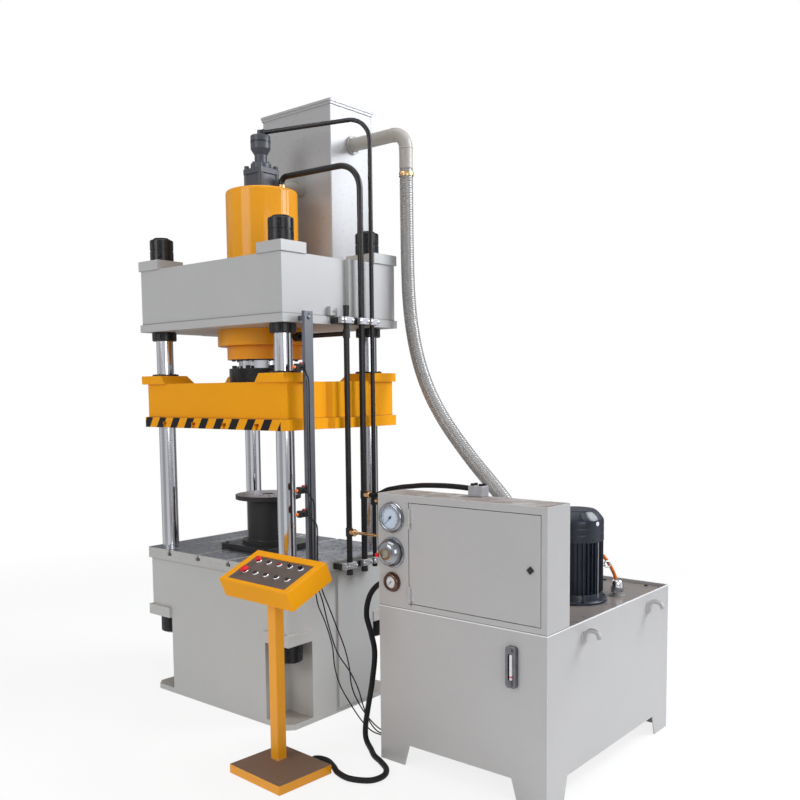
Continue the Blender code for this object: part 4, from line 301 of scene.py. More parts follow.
def easedCopy(node, name, material, body="frame", width=0.003, segments=3, keep=None):
    # the CAD solid's own surface: equal corners become one, flat triangles one face, and every edge is rounded
    source = nodes[node].data
    corners = np.empty(len(source.vertices) * 3, np.float32)
    source.vertices.foreach_get("co", corners)
    source.calc_loop_triangles()
    faces = np.empty(len(source.loop_triangles) * 3, np.int32)
    source.loop_triangles.foreach_get("vertices", faces)
    corners = corners.reshape(-1, 3)
    _, first, index = np.unique(np.round(corners, 5), axis=0, return_index=True, return_inverse=True)
    faces = index.reshape(-1)[faces].reshape(-1, 3)
    corners = corners[first]
    if keep is not None:
        faces = faces[keep(corners[faces].mean(1))]
    mesh = bpy.data.meshes.new(name)
    mesh.from_pydata(corners.tolist(), [], faces.tolist())
    bm = bmesh.new()
    bm.from_mesh(mesh)
    bmesh.ops.delete(bm, geom=[v for v in bm.verts if not v.link_faces], context="VERTS")
    if keep is not None:
        bmesh.ops.holes_fill(bm, edges=[edge for edge in bm.edges if edge.is_boundary], sides=0)
    bmesh.ops.dissolve_limit(bm, angle_limit=math.radians(1), verts=bm.verts, edges=bm.edges)
    bm.to_mesh(mesh)
    bm.free()
    obj = place(name, mesh, material, body, node, crisp=60, weighted=False)
    if width:
        edge = obj.modifiers.new("easedEdges", "BEVEL")
        edge.width, edge.segments = width, segments
        edge.limit_method, edge.angle_limit = "ANGLE", math.radians(35)
        edge.harden_normals = True
    return obj


# Shader tools

def added(tree, kind):
    return tree.nodes.new("ShaderNode" + kind)


def sock(tree, target, value):
    if isinstance(value, bpy.types.NodeSocket):
        tree.links.new(value, target)
    elif value is not None:
        target.default_value = value


def calc(tree, operation, a, b=None, c=None, clamp=False):
    node = added(tree, "Math")
    node.operation, node.use_clamp = operation, clamp
    for target, value in zip(node.inputs, (a, b, c)):
        sock(tree, target, value)
    return node.outputs[0]


def times(tree, a, b, clamp=False):
    return calc(tree, "MULTIPLY", a, b, clamp=clamp)


def ramp(tree, value, low, high, outLow=0.0, outHigh=1.0):
    node = added(tree, "MapRange")
    node.clamp = True
    for target, given in zip(node.inputs, (value, low, high, outLow, outHigh)):
        sock(tree, target, given)
    return node.outputs[0]


def blendColor(tree, factor, a, b, kind="MIX"):
    node = added(tree, "Mix")
    node.data_type, node.blend_type = "RGBA", kind
    sock(tree, node.inputs["Factor"], factor)
    sock(tree, node.inputs["A"], a)
    sock(tree, node.inputs["B"], b)
    return node.outputs["Result"]


def noise(tree, vector, scale, detail=2.0, rough=0.5):
    node = added(tree, "TexNoise")
    sock(tree, node.inputs["Vector"], vector)
    node.inputs["Scale"].default_value = scale
    node.inputs["Detail"].default_value = detail
    node.inputs["Roughness"].default_value = rough
    return node.outputs["Fac"]


def objectPlace(tree):
    return added(tree, "TexCoord").outputs["Object"]


def parts(tree, vector):
    node = added(tree, "SeparateXYZ")
    sock(tree, node.inputs[0], vector)
    return node.outputs


def relief(tree, height, distance, strength=1.0, normal=None):
    node = added(tree, "Bump")
    sock(tree, node.inputs["Height"], height)
    node.inputs["Distance"].default_value = distance
    node.inputs["Strength"].default_value = strength
    if normal is not None:
        sock(tree, node.inputs["Normal"], normal)
    return node.outputs["Normal"]


def makeGroup(name, inputs, outputs):
    tree = bpy.data.node_groups.new(name, "ShaderNodeTree")
    for label, kind, value in inputs:
        socket = tree.interface.new_socket(label, in_out="INPUT", socket_type="NodeSocket" + kind)
        if value is not None:
            socket.default_value = value
    for label, kind in outputs:
        tree.interface.new_socket(label, in_out="OUTPUT", socket_type="NodeSocket" + kind)
    return tree, tree.nodes.new("NodeGroupInput").outputs, tree.nodes.new("NodeGroupOutput").inputs


def edgeMask(tree, radius):
    # near an edge the rounded normal leaves the flat one, which gives a mask along edges
    soft = added(tree, "Bevel")
    soft.samples = 4
    soft.inputs["Radius"].default_value = radius
    flat = added(tree, "NewGeometry").outputs["Normal"]
    dot = added(tree, "VectorMath")
    dot.operation = "DOT_PRODUCT"
    sock(tree, dot.inputs[0], soft.outputs[0])
    sock(tree, dot.inputs[1], flat)
    return ramp(tree, dot.outputs["Value"], 0.995, 0.88)


def makePaintGroup():
    # enamel on steel: slow change of tone, dust on what faces up, worn and rubbed edges, orange peel
    tree, given, out = makeGroup("enamelSkin", [
        ("Paint", "Color", (0.6, 0.6, 0.6, 1)), ("Dust", "Color", (0.3, 0.25, 0.2, 1)), ("Dusty", "Float", 0.2),
        ("Worn", "Float", 0.3), ("Rough", "Float", 0.4), ("Peel", "Float", 0.2),
        ("Line", "Color", (0.9, 0.9, 0.9, 1)), ("Lined", "Float", 0.0),
    ], [("Color", "Color"), ("Roughness", "Float"), ("Normal", "Vector")])
    at = objectPlace(tree)
    slow, fine = noise(tree, at, 1.7, 3), noise(tree, at, 38, 5, 0.65)
    tone = calc(tree, "ADD", ramp(tree, slow, 0.3, 0.7, 0.965, 1.025), ramp(tree, fine, 0.3, 0.7, -0.012, 0.012))
    shade = added(tree, "HueSaturation")
    sock(tree, shade.inputs["Value"], tone)
    sock(tree, shade.inputs["Color"], given["Paint"])
    up = parts(tree, added(tree, "NewGeometry").outputs["Normal"])[2]
    patch = ramp(tree, noise(tree, at, 7, 6, 0.7), 0.38, 0.72)
    dust = times(tree, ramp(tree, up, 0.6, 0.95),
        times(tree, given["Dusty"], calc(tree, "ADD", patch, 0.35)), clamp=True)
    color = blendColor(tree, dust, shade.outputs[0], given["Dust"])
    rim = edgeMask(tree, 0.0035)
    edge = times(tree, rim, ramp(tree, noise(tree, at, 26, 4, 0.6), 0.42, 0.62))
    worn = times(tree, edge, given["Worn"])
    rubbed = blendColor(tree, 0.55, given["Paint"], (0.93, 0.92, 0.88, 1))
    color = blendColor(tree, worn, color, rubbed)
    # painted highlight and painted shade: along every edge the Line colour is laid over the paint, light on some
    # materials and dark on others
    sock(tree, out["Color"], blendColor(tree, times(tree, rim, given["Lined"]), color, given["Line"]))
    rough = calc(tree, "ADD", given["Rough"], ramp(tree, fine, 0.3, 0.7, -0.05, 0.05))
    sock(tree, out["Roughness"], calc(tree, "ADD", rough, times(tree, dust, 0.25)))
    peel = times(tree, noise(tree, at, 320, 2), given["Peel"])
    wave = relief(tree, noise(tree, at, 4.5, 1), 0.0012, 0.22)
    sock(tree, out["Normal"], relief(tree, peel, 0.0004, 1.0, wave))
    return tree


def makeMetalGroup():
    # drawn or turned metal: fine lines along one way, soft stains, small dents in the gloss
    tree, given, out = makeGroup("drawnMetal", [
        ("Metal", "Color", (0.6, 0.6, 0.62, 1)), ("Stain", "Color", (0.2, 0.19, 0.18, 1)), ("Stained", "Float", 0.2),
        ("Rough", "Float", 0.25), ("Lines", "Vector", (1, 1, 1)), ("Depth", "Float", 0.3),
    ], [("Color", "Color"), ("Roughness", "Float"), ("Normal", "Vector")])
    at = objectPlace(tree)
    scaled = added(tree, "VectorMath")
    scaled.operation = "MULTIPLY"
    sock(tree, scaled.inputs[0], at)
    sock(tree, scaled.inputs[1], given["Lines"])
    line = noise(tree, scaled.outputs[0], 40, 3, 0.6)
    stain = times(tree, ramp(tree, noise(tree, at, 6, 6, 0.68), 0.45, 0.75), given["Stained"])
    tone = blendColor(tree, ramp(tree, line, 0.3, 0.7, 0, 0.22), given["Metal"], (0.25, 0.25, 0.27, 1), "MULTIPLY")
    sock(tree, out["Color"], blendColor(tree, stain, tone, given["Stain"]))
    rough = calc(tree, "ADD", given["Rough"], ramp(tree, line, 0.3, 0.7, -0.05, 0.07))
    sock(tree, out["Roughness"], calc(tree, "ADD", rough, times(tree, stain, 0.3)))
    sock(tree, out["Normal"], relief(tree, times(tree, line, given["Depth"]), 0.0003))
    return tree


def makeCastGroup():
    # cast, sprayed or moulded dark skin: grain in the bump, dull dust and rubbed edges
    tree, given, out = makeGroup("grainySkin", [
        ("Skin", "Color", (0.03, 0.03, 0.035, 1)), ("Rub", "Color", (0.25, 0.25, 0.26, 1)), ("Rubbed", "Float", 0.3),
        ("Rough", "Float", 0.5), ("Grain", "Float", 0.4), ("Size", "Float", 180.0),
    ], [("Color", "Color"), ("Roughness", "Float"), ("Normal", "Vector")])
    at = objectPlace(tree)
    grain = added(tree, "TexNoise")
    sock(tree, grain.inputs["Vector"], at)
    sock(tree, grain.inputs["Scale"], given["Size"])
    grain.inputs["Detail"].default_value = 3
    slow = noise(tree, at, 9, 5, 0.65)
    tone = blendColor(tree, ramp(tree, slow, 0.35, 0.75, 0, 0.03), given["Skin"], (0.35, 0.32, 0.28, 1))
    edge = times(tree, edgeMask(tree, 0.002), given["Rubbed"])
    sock(tree, out["Color"], blendColor(tree, edge, tone, given["Rub"]))
    sock(tree, out["Roughness"], calc(tree, "ADD", given["Rough"], ramp(tree, slow, 0.3, 0.7, -0.06, 0.1)))
    sock(tree, out["Normal"], relief(tree, times(tree, grain.outputs["Fac"], given["Grain"]), 0.0005))
    return tree


enamelSkin, drawnMetal, grainySkin = makePaintGroup(), makeMetalGroup(), makeCastGroup()


def makeMaterial(name, group, metallic=0.0, coat=0.0, coatRough=0.08, clear=0.0, specular=0.5, **values):
    # values are the group's inputs, with a small first letter
    material = bpy.data.materials.new(name)
    material.use_nodes = True
    tree = material.node_tree
    shader = tree.nodes["Principled BSDF"]
    for label, value in (
        ("Metallic", metallic), ("Coat Weight", coat), ("Coat Roughness", coatRough), ("Transmission Weight", clear),
        ("Specular IOR Level", specular),
    ):
        shader.inputs[label].default_value = value
    skin = added(tree, "Group")
    skin.node_tree = group
    for label, value in values.items():
        skin.inputs[label.capitalize()].default_value = value
    tree.links.new(skin.outputs["Color"], shader.inputs["Base Color"])
    tree.links.new(skin.outputs["Roughness"], shader.inputs["Roughness"])
    tree.links.new(skin.outputs["Normal"], shader.inputs["Normal"])
    return material


def rgb(r, g, b):
    return (r, g, b, 1)


def between(tree, value, low, high):
    return times(tree, calc(tree, "GREATER_THAN", value, low), calc(tree, "LESS_THAN", value, high))


def drawLines(material, lines):
    # seams and lip edges, some of them painted highlights and painted shade: each line is a band of heights or
    # widths, with its tint and its strength
    tree = material.node_tree
    target = tree.nodes["Principled BSDF"].inputs["Base Color"]
    x, y, z = parts(tree, objectPlace(tree))[:3]
    for band, tint, strength in lines:
        color = target.links[0].from_socket
        tree.links.new(blendColor(tree, times(tree, band(tree, x, y, z), strength), color, tint), target)


paints = {
    "machineGrey": rgb(0.495, 0.495, 0.485), "unitGrey": rgb(0.455, 0.450, 0.450), "yellow": rgb(0.86, 0.355, 0.008),
    "dust": rgb(0.30, 0.22, 0.16), "headTank": rgb(0.41, 0.41, 0.42), "beige": rgb(0.38, 0.36, 0.33),
}
machineGrey = makeMaterial("machineGreyEnamel", enamelSkin, paint=paints["machineGrey"], dust=paints["dust"],
    dusty=0.55, worn=0.35, rough=0.36, peel=0.08)
# its dark Line colour is painted shade along every edge
crossGrey = makeMaterial("crossheadEnamel", enamelSkin, paint=rgb(0.45, 0.452, 0.455), dust=paints["dust"],
    dusty=0.25, worn=0.2, rough=0.34, peel=0.06, line=rgb(0.2, 0.2, 0.17), lined=0.55)
# its light Line colour is a painted highlight along every edge
unitGrey = makeMaterial("unitIvoryEnamel", enamelSkin, paint=paints["unitGrey"], dust=rgb(0.2, 0.165, 0.145),
    dusty=1.1, worn=0.35, rough=0.4, peel=0.08, line=rgb(0.85, 0.85, 0.88), lined=0.6)
# its light Line colour is a painted highlight along every edge
headTankGrey = makeMaterial("headTankEnamel", enamelSkin, paint=paints["headTank"], dust=paints["dust"], dusty=0.3,
    worn=0.2, rough=0.3, peel=0.05, line=rgb(0.7, 0.72, 0.76), lined=0.4, coat=0.14, coatRough=0.2)
beigePaint = makeMaterial("beigePipePaint", enamelSkin, paint=paints["beige"], dust=paints["dust"], dusty=0.3,
    worn=0.3, rough=0.36, peel=0.35)
basePaint = makeMaterial("pedestalBaseEnamel", enamelSkin, paint=paints["yellow"], dust=rgb(0.19, 0.115, 0.075),
    dusty=6.0, worn=0.3, rough=0.36, peel=0.2)
panelPaint = makeMaterial("panelBrown", enamelSkin, paint=rgb(0.085, 0.066, 0.062), dust=rgb(0.12, 0.1, 0.09),
    dusty=0.5, worn=0.3, rough=0.42, peel=0.2)
chrome = makeMaterial("hardChrome", drawnMetal, metal=rgb(0.66, 0.67, 0.7), stain=rgb(0.3, 0.3, 0.31), stained=0.12,
    rough=0.13, lines=(1, 1, 0.012), depth=0.1, metallic=1.0)
brightMetal = makeMaterial("brightFitting", drawnMetal, metal=rgb(0.74, 0.74, 0.75), stained=0.12, rough=0.14,
    depth=0.1, metallic=1.0)
machinedSteel = makeMaterial("machinedSteel", drawnMetal, metal=rgb(0.3, 0.32, 0.37), stain=rgb(0.1, 0.1, 0.12),
    stained=0.75, rough=0.3, lines=(0.25, 3, 1), depth=0.35, metallic=0.85)
zincPlate = makeMaterial("zincPlate", drawnMetal, metal=rgb(0.44, 0.44, 0.46), stain=rgb(0.28, 0.26, 0.24),
    stained=0.4, rough=0.42, depth=0.2, metallic=0.6)
dullZinc = makeMaterial("dullZinc", drawnMetal, metal=rgb(0.2, 0.2, 0.22), stain=rgb(0.08, 0.08, 0.08), stained=0.4,
    rough=0.34, depth=0.2, metallic=0.85)
barSteel = makeMaterial("switchBarSteel", drawnMetal, metal=rgb(0.17, 0.18, 0.2), stain=rgb(0.06, 0.06, 0.07),
    stained=0.5, rough=0.34, lines=(2, 2, 0.03), depth=0.2, metallic=0.8)
brass = makeMaterial("brassFitting", drawnMetal, metal=rgb(0.72, 0.47, 0.24), stain=rgb(0.35, 0.2, 0.1), stained=0.35,
    rough=0.22, depth=0.15, metallic=1.0)
blackPipe = makeMaterial("glossBlackPipe", grainySkin, skin=rgb(0.006, 0.006, 0.008), rub=rgb(0.06, 0.06, 0.07),
    rubbed=0.15, rough=0.27, grain=0.03, coat=0.1, specular=0.3)
blackNut = makeMaterial("blackenedNut", grainySkin, skin=rgb(0.007, 0.007, 0.009), rub=rgb(0.14, 0.14, 0.15),
    rubbed=0.3, rough=0.27, grain=0.12, coat=0.08, specular=0.25)
blackSteel = makeMaterial("blackenedSteel", grainySkin, skin=rgb(0.011, 0.011, 0.013), rub=rgb(0.14, 0.14, 0.15),
    rubbed=0.35, rough=0.4, grain=0.3, specular=0.4)
castIron = makeMaterial("darkCasting", grainySkin, skin=rgb(0.014, 0.014, 0.016), rub=rgb(0.16, 0.16, 0.17),
    rubbed=0.35, rough=0.46, grain=0.7, specular=0.35)
slateGrey = makeMaterial("slateValvePaint", grainySkin, skin=rgb(0.055, 0.062, 0.078), rub=rgb(0.2, 0.2, 0.22),
    rubbed=0.3, rough=0.38, grain=0.3, coat=0.05, specular=0.4)
motorPaint = makeMaterial("motorBluePaint", grainySkin, skin=rgb(0.01, 0.014, 0.026), rub=rgb(0.1, 0.13, 0.2),
    rubbed=0.3, rough=0.3, grain=0.35, coat=0.1, specular=0.35)
rubber = makeMaterial("blackRubber", grainySkin, skin=rgb(0.008, 0.008, 0.009), rub=rgb(0.04, 0.04, 0.04), rubbed=0.2,
    rough=0.46, grain=0.2, specular=0.18)
blackPlastic = makeMaterial("blackPlastic", grainySkin, skin=rgb(0.009, 0.009, 0.011), rub=rgb(0.07, 0.07, 0.07),
    rubbed=0.3, rough=0.32, grain=0.1, specular=0.4)
redPlastic = makeMaterial("redPlastic", grainySkin, skin=rgb(0.68, 0.004, 0.018), rub=rgb(0.85, 0.12, 0.12),
    rubbed=0.2, rough=0.32, grain=0.05, specular=0.3)
orangePlastic = makeMaterial("orangeSheath", grainySkin, skin=rgb(0.8, 0.17, 0.012), rub=rgb(0.9, 0.4, 0.1),
    rubbed=0.2, rough=0.36, grain=0.2)
hoseWall = makeMaterial("clearHoseWall", drawnMetal, metal=rgb(0.4, 0.39, 0.38), stain=rgb(0.24, 0.22, 0.2),
    stained=0.25, rough=0.22, depth=0.1, clear=0.35, coat=0.6, coatRough=0.1)
yellowGloss = makeMaterial("cylinderYellow", enamelSkin, paint=paints["yellow"], dust=rgb(0.35, 0.17, 0.05),
    dusty=0.2, worn=0.2, rough=0.36, peel=0.0, coat=0.38, coatRough=0.08, specular=0.12)


def unitOuter(tree, x, y):
    return calc(tree, "MAXIMUM", calc(tree, "LESS_THAN", y, -0.3362), calc(tree, "GREATER_THAN", x, 1.9692))


def doorSeam(tree, x, y, z):
    # distance outside the door's outline: max(|x - middle| - half width, |z - middle| - half height)
    aside = calc(tree, "SUBTRACT", calc(tree, "ABSOLUTE", calc(tree, "SUBTRACT", x, 1.607)), 0.331)
    above = calc(tree, "SUBTRACT", calc(tree, "ABSOLUTE", calc(tree, "SUBTRACT", z, 0.973)), 0.223)
    near = between(tree, calc(tree, "MAXIMUM", aside, above), -0.0004, 0.0034)
    return times(tree, near, calc(tree, "LESS_THAN", y, -0.3360))


def unitBand(low, high):
    return lambda tree, x, y, z: times(tree, between(tree, z, low, high), unitOuter(tree, x, y))


def heightBand(low, high):
    return lambda tree, x, y, z: between(tree, z, low, high)


# painted highlight: a light band along the tank's top rim; above it the dark seam under the cabinet, and the dark
# seam round the door
drawLines(unitGrey, [
    (unitBand(0.7148, 0.7202), rgb(0.86, 0.86, 0.90), 0.85), (unitBand(0.7202, 0.7236), rgb(0.13, 0.13, 0.12), 0.75),
    (doorSeam, rgb(0.05, 0.05, 0.045), 0.8),
])
# painted shade: a dark line round the crosshead's bottom edge
drawLines(crossGrey, [(heightBand(2.0640, 2.0700), rgb(0.16, 0.16, 0.13), 0.6)])


def pocketShade(tree, x, y, z):
    # painted shade inside the four corner pockets, heavier where the noise is high
    aside = calc(tree, "GREATER_THAN", calc(tree, "ABSOLUTE", x), 0.3843)
    ahead = calc(tree, "GREATER_THAN", calc(tree, "ABSOLUTE", y), 0.2283)
    patchyShade = ramp(tree, noise(tree, objectPlace(tree), 5, 4, 0.6), 0.3, 0.7, 0.45, 1.0)
    return times(tree, times(tree, aside, ahead), times(tree, between(tree, z, 0.0292, 0.4335), patchyShade))


drawLines(machineGrey,
    [(heightBand(0.7525, 0.7575), rgb(0.16, 0.16, 0.13), 0.6), (pocketShade, rgb(0.16, 0.13, 0.10), 0.35)])
drawLines(chrome, [(heightBand(2.40, 2.60), rgb(0.01, 0.01, 0.012), 1.0)])
print("press: materials made")

# Free hoses and cables: the routes are the CAD's, with more points on the same curves

pipeX = 0.626
cords = {
    "clearHose": {
        "node": "clear_hose", "radius": 0.0365, "around": 32, "steps": 60, "stiffness": "stiff",
        "lay": "hanging", "finish": hoseWall,
        "points": [
            (0.657, 0.440, 2.8677), (0.658, 0.440, 2.72), (0.659, 0.440, 2.55), (0.661, 0.440, 2.38),
            (0.668, 0.438, 2.22), (0.682, 0.434, 2.10), (0.705, 0.427, 1.99), (0.740, 0.416, 1.88),
            (0.785, 0.402, 1.78), (0.845, 0.384, 1.68), (0.915, 0.364, 1.59), (1.000, 0.340, 1.50),
            (1.100, 0.312, 1.41), (1.205, 0.280, 1.325), (1.315, 0.245, 1.245), (1.420, 0.212, 1.165),
            (1.500, 0.188, 1.085), (1.560, 0.173, 0.995), (1.592, 0.166, 0.895), (1.600, 0.165, 0.800),
            (1.600, 0.165, 0.7503),
        ],
    },
    "topHose": {
        "node": "top_hose", "radius": 0.0125, "around": 18, "steps": 6, "stiffness": "stiff",
        "lay": "loose", "finish": rubber,
        "points": [
            (0.6723, 0.100, 1.148), (0.702, 0.100, 1.148), (0.748, 0.095, 1.164), (0.805, 0.081, 1.186),
            (0.870, 0.062, 1.200), (0.940, 0.038, 1.213), (1.020, 0.010, 1.224), (1.100, -0.015, 1.235),
            (1.190, -0.040, 1.243), (1.280, -0.058, 1.248), (1.370, -0.072, 1.249), (1.450, -0.084, 1.247),
            (1.505, -0.097, 1.246), (1.534, -0.113, 1.249), (1.542, -0.134, 1.254), (1.542, -0.1597, 1.254),
        ],
    },
    "controlConduit": {
        "node": "control_conduit", "radius": 0.0135, "around": 18, "steps": 24, "stiffness": "medium",
        "lay": "loose", "finish": rubber,
        "points": [
            (1.0997, -0.250, 0.800), (1.072, -0.250, 0.800), (1.027, -0.256, 0.787), (0.980, -0.266, 0.728),
            (0.962, -0.270, 0.636), (0.990, -0.270, 0.549), (1.010, -0.270, 0.459), (0.992, -0.270, 0.318),
            (0.962, -0.268, 0.185), (0.940, -0.262, 0.095), (0.938, -0.262, 0.040), (0.965, -0.278, 0.0145),
            (1.020, -0.318, 0.0142), (1.085, -0.368, 0.0142), (1.155, -0.402, 0.0142), (1.225, -0.448, 0.0142),
            (1.258, -0.510, 0.0142), (1.240, -0.578, 0.0142), (1.160, -0.618, 0.0142), (1.080, -0.606, 0.0142),
            (1.020, -0.572, 0.0142), (0.962, -0.545, 0.0142), (0.918, -0.546, 0.0150), (0.900, -0.566, 0.0180),
            (0.899, -0.5965, 0.0180),
        ],
    },
    "motorCable": {
        "node": "motor_cable", "radius": 0.0085, "around": 14, "steps": 6, "stiffness": "medium", "lay": "loose",
        "finish": orangePlastic,
        "points": [
            (1.735, 0.5133, 0.905), (1.735, 0.532, 0.905), (1.755, 0.545, 0.893), (1.772, 0.562, 0.868),
            (1.788, 0.577, 0.834), (1.802, 0.590, 0.796), (1.812, 0.600, 0.756), (1.816, 0.604, 0.728),
            (1.817, 0.605, 0.7050),
        ],
    },
}
switchLevels = {"upper": 1.806, "middle": 1.212, "lower": 1.096}
leadHangs = {
    "upper": [
        (0.650, -0.302, 0.740), (0.656, -0.299, 0.700), (0.667, -0.291, 0.632), (0.700, -0.280, 0.556),
        (0.727, -0.262, 0.440), (0.728, -0.248, 0.330), (0.745, -0.228, 0.235), (0.785, -0.204, 0.150),
        (0.835, -0.180, 0.070), (0.885, -0.160, 0.020), (0.940, -0.142, 0.0050), (1.000, -0.128, 0.0045),
        (1.045, -0.122, 0.030), (1.062, -0.120, 0.085), (1.078, -0.120, 0.130), (1.0997, -0.120, 0.130)],
    "middle": [
        (0.664, -0.285, 0.720), (0.668, -0.262, 0.650), (0.690, -0.250, 0.540), (0.742, -0.245, 0.410),
        (0.818, -0.232, 0.318), (0.846, -0.205, 0.228), (0.858, -0.188, 0.150), (0.880, -0.168, 0.070),
        (0.915, -0.145, 0.018), (0.965, -0.120, 0.0050), (1.010, -0.104, 0.0045), (1.048, -0.098, 0.034),
        (1.064, -0.096, 0.088), (1.078, -0.096, 0.130), (1.0997, -0.096, 0.130)],
    "lower": [
        (0.672, -0.268, 0.710), (0.690, -0.240, 0.620), (0.716, -0.215, 0.520), (0.752, -0.200, 0.420),
        (0.786, -0.205, 0.330), (0.800, -0.208, 0.250), (0.820, -0.196, 0.180), (0.862, -0.172, 0.100),
        (0.905, -0.130, 0.030), (0.955, -0.098, 0.0050), (1.008, -0.080, 0.0045), (1.048, -0.074, 0.038),
        (1.064, -0.072, 0.090), (1.078, -0.072, 0.130), (1.0997, -0.072, 0.130)],
}


def leadPoints(startZ, lane, hang):
    # out of the switch, down the bar's right side in its own lane, then free to the power unit
    startY, sideX, barY = -0.340, 0.642 + 0.008 * lane, -0.306 + 0.012 * lane
    points = [
        (0.6293, startY, startZ), (0.639, startY, startZ), (sideX + 0.004, startY + 0.006, startZ - 0.014),
        (sideX + 0.003, (startY + barY) / 2, startZ - 0.036), (sideX, barY, startZ - 0.070),
    ]
    level = startZ - 0.070
    while level > 0.84:
        level -= 0.11
        points.append((sideX, barY, max(level, 0.80)))
    return points + hang


for lane, (level, hang) in enumerate(leadHangs.items()):
    cords[level + "SwitchLead"] = {
        "node": level + "_switch_lead", "radius": 0.0032, "around": 10, "steps": 5,
        "stiffness": "limp", "lay": "hanging",
        "finish": rubber, "points": leadPoints(switchLevels[level], lane, hang),
    }


def makeCord(name, cord):
    path = smoothRoute(cord["points"], cord["steps"])
    path[:, 2] = np.maximum(path[:, 2], cord["radius"] + 0.0003)
    along = np.r_[0, np.cumsum(np.linalg.norm(np.diff(path, axis=0), axis=1))]
    radius = np.full((len(path), cord["around"]), cord["radius"])
    angle = np.linspace(0, 2 * math.pi, cord["around"], endpoint=False)
    if name == "clearHose":
        # a wire winds round inside the wall: radius + depth * (bump of cos(2 pi * length / pitch - angle))
        turn = np.cos(2 * math.pi * along[:, None] / 0.0125 - angle)
        radius = radius - 0.0011 + 0.0011 * np.clip(turn, -0.2, 1)
    if name == "controlConduit":
        # corrugations close together along the sleeve
        radius = radius - 0.0004 + 0.0004 * np.cos(2 * math.pi * along[:, None] / 0.009)
    obj = addPiece(name, tube(path, radius, cord["around"]), cord["finish"], replaced=cord["node"],
        crisp=80, weighted=False)
    return float(along[-1])


print("press: cords", {name: round(makeCord(name, cord), 3) for name, cord in cords.items()})

# Bed, table, crosshead and slide: the CAD's own forms with rounded edges, then their details

columns = {
    "x": 0.480, "y": 0.316, "radius": 0.046, "nut": 0.0635, "lowerNut": 0.0665,
    "topNut": (2.4113, 2.5293), "headNut": (1.9752, 2.0232), "bedNut": (0.3347, 0.4327),
    "top": 2.5393, "bottom": 0.3247,
}


def rimColor(material, paint, metal):
    # the painted rim of a machined plate: what faces up keeps the metal, the sides below are paint
    tree = material.node_tree
    group = next(n for n in tree.nodes if n.type == "GROUP")
    shader = tree.nodes["Principled BSDF"]
    up = parts(tree, added(tree, "NewGeometry").outputs["Normal"])[2]
    mask = ramp(tree, up, 0.5, 0.75, 1.0, 0.0)
    color = blendColor(tree, mask, group.outputs["Color"], paint)
    tree.links.new(color, shader.inputs["Base Color"])
    sock(tree, shader.inputs["Metallic"], times(tree, calc(tree, "SUBTRACT", 1.0, mask), metal))
    return material


tableSteel = rimColor(makeMaterial("tableSteel", drawnMetal, metal=rgb(0.3, 0.32, 0.37), stain=rgb(0.12, 0.12, 0.14),
    stained=0.8, rough=0.24, lines=(0.25, 3, 1), depth=0.4, specular=0.35), rgb(0.46, 0.458, 0.448), 0.85)


stripes = {"start": -0.564, "slant": 0.6, "from": 1.508, "pitch": 0.1213, "black": 0.485, "front": -0.4085,
    "top": 1.5556, "end": 0.5495}


def hazardYellow():
    # black slanted stripes on the front flange: fract((x + slant * z - start) / pitch) below the black share
    material = makeMaterial("slideYellow", enamelSkin, dust=rgb(0.35, 0.17, 0.05), dusty=0.3, worn=0.3, rough=0.4,
        peel=0.06, specular=0.12)
    tree = material.node_tree
    group = next(n for n in tree.nodes if n.type == "GROUP")
    x, y, z = parts(tree, objectPlace(tree))[:3]
    s = stripes
    slanted = times(tree, calc(tree, "SUBTRACT", z, s["from"]), s["slant"])
    shifted = calc(tree, "SUBTRACT", calc(tree, "ADD", x, -s["start"]), slanted)
    band = calc(tree, "LESS_THAN", calc(tree, "FRACT", calc(tree, "DIVIDE", shifted, s["pitch"])), s["black"])
    front = times(tree, calc(tree, "LESS_THAN", y, s["front"]), calc(tree, "LESS_THAN", z, s["top"]))
    side = calc(tree, "LESS_THAN", x, s["end"])
    mask = times(tree, band, times(tree, front, side))
    color = blendColor(tree, mask, paints["yellow"], rgb(0.012, 0.012, 0.014))
    tree.links.new(color, group.inputs["Paint"])
    return material


slideYellow = hazardYellow()
drawLines(slideYellow, [(heightBand(1.5544, 1.5590), rgb(0.42, 0.17, 0.008), 0.6)])
easedCopy("bed_frame", "bedFrame", machineGrey, width=0.003)
easedCopy("work_table", "workTable", tableSteel, width=0.0015, segments=2)
easedCopy("upper_crosshead", "upperCrosshead", crossGrey, width=0.0035)
easedCopy("slide_beam", "slideBeam", slideYellow, body="slide", width=0.0035,
    keep=lambda centre: centre[:, 2] < 1.7818)


def bushAndWiper(x, y):
    # black bush flange with a wiper lip round the column, and four screws
    ring = turned([(0.0468, 1.7816), (0.0715, 1.7816), (0.0715, 1.7903), (0.0485, 1.7903), (0.0468, 1.7885),
        (0.0468, 1.7816)], (x, y, 0), "z", 48, ease=0)
    screws = [socketScrew((px, py, 1.7895), 0.0052, 0.0035) for px, py in ringOf(4, 0.0605, 0.4, (x, y))]
    return joined(ring, *screws)


corners = [(sx * columns["x"], sy * columns["y"]) for sx in (-1, 1) for sy in (-1, 1)]
addPiece("slideBushes", joined(*(bushAndWiper(x, y) for x, y in corners)), blackNut, body="slide")


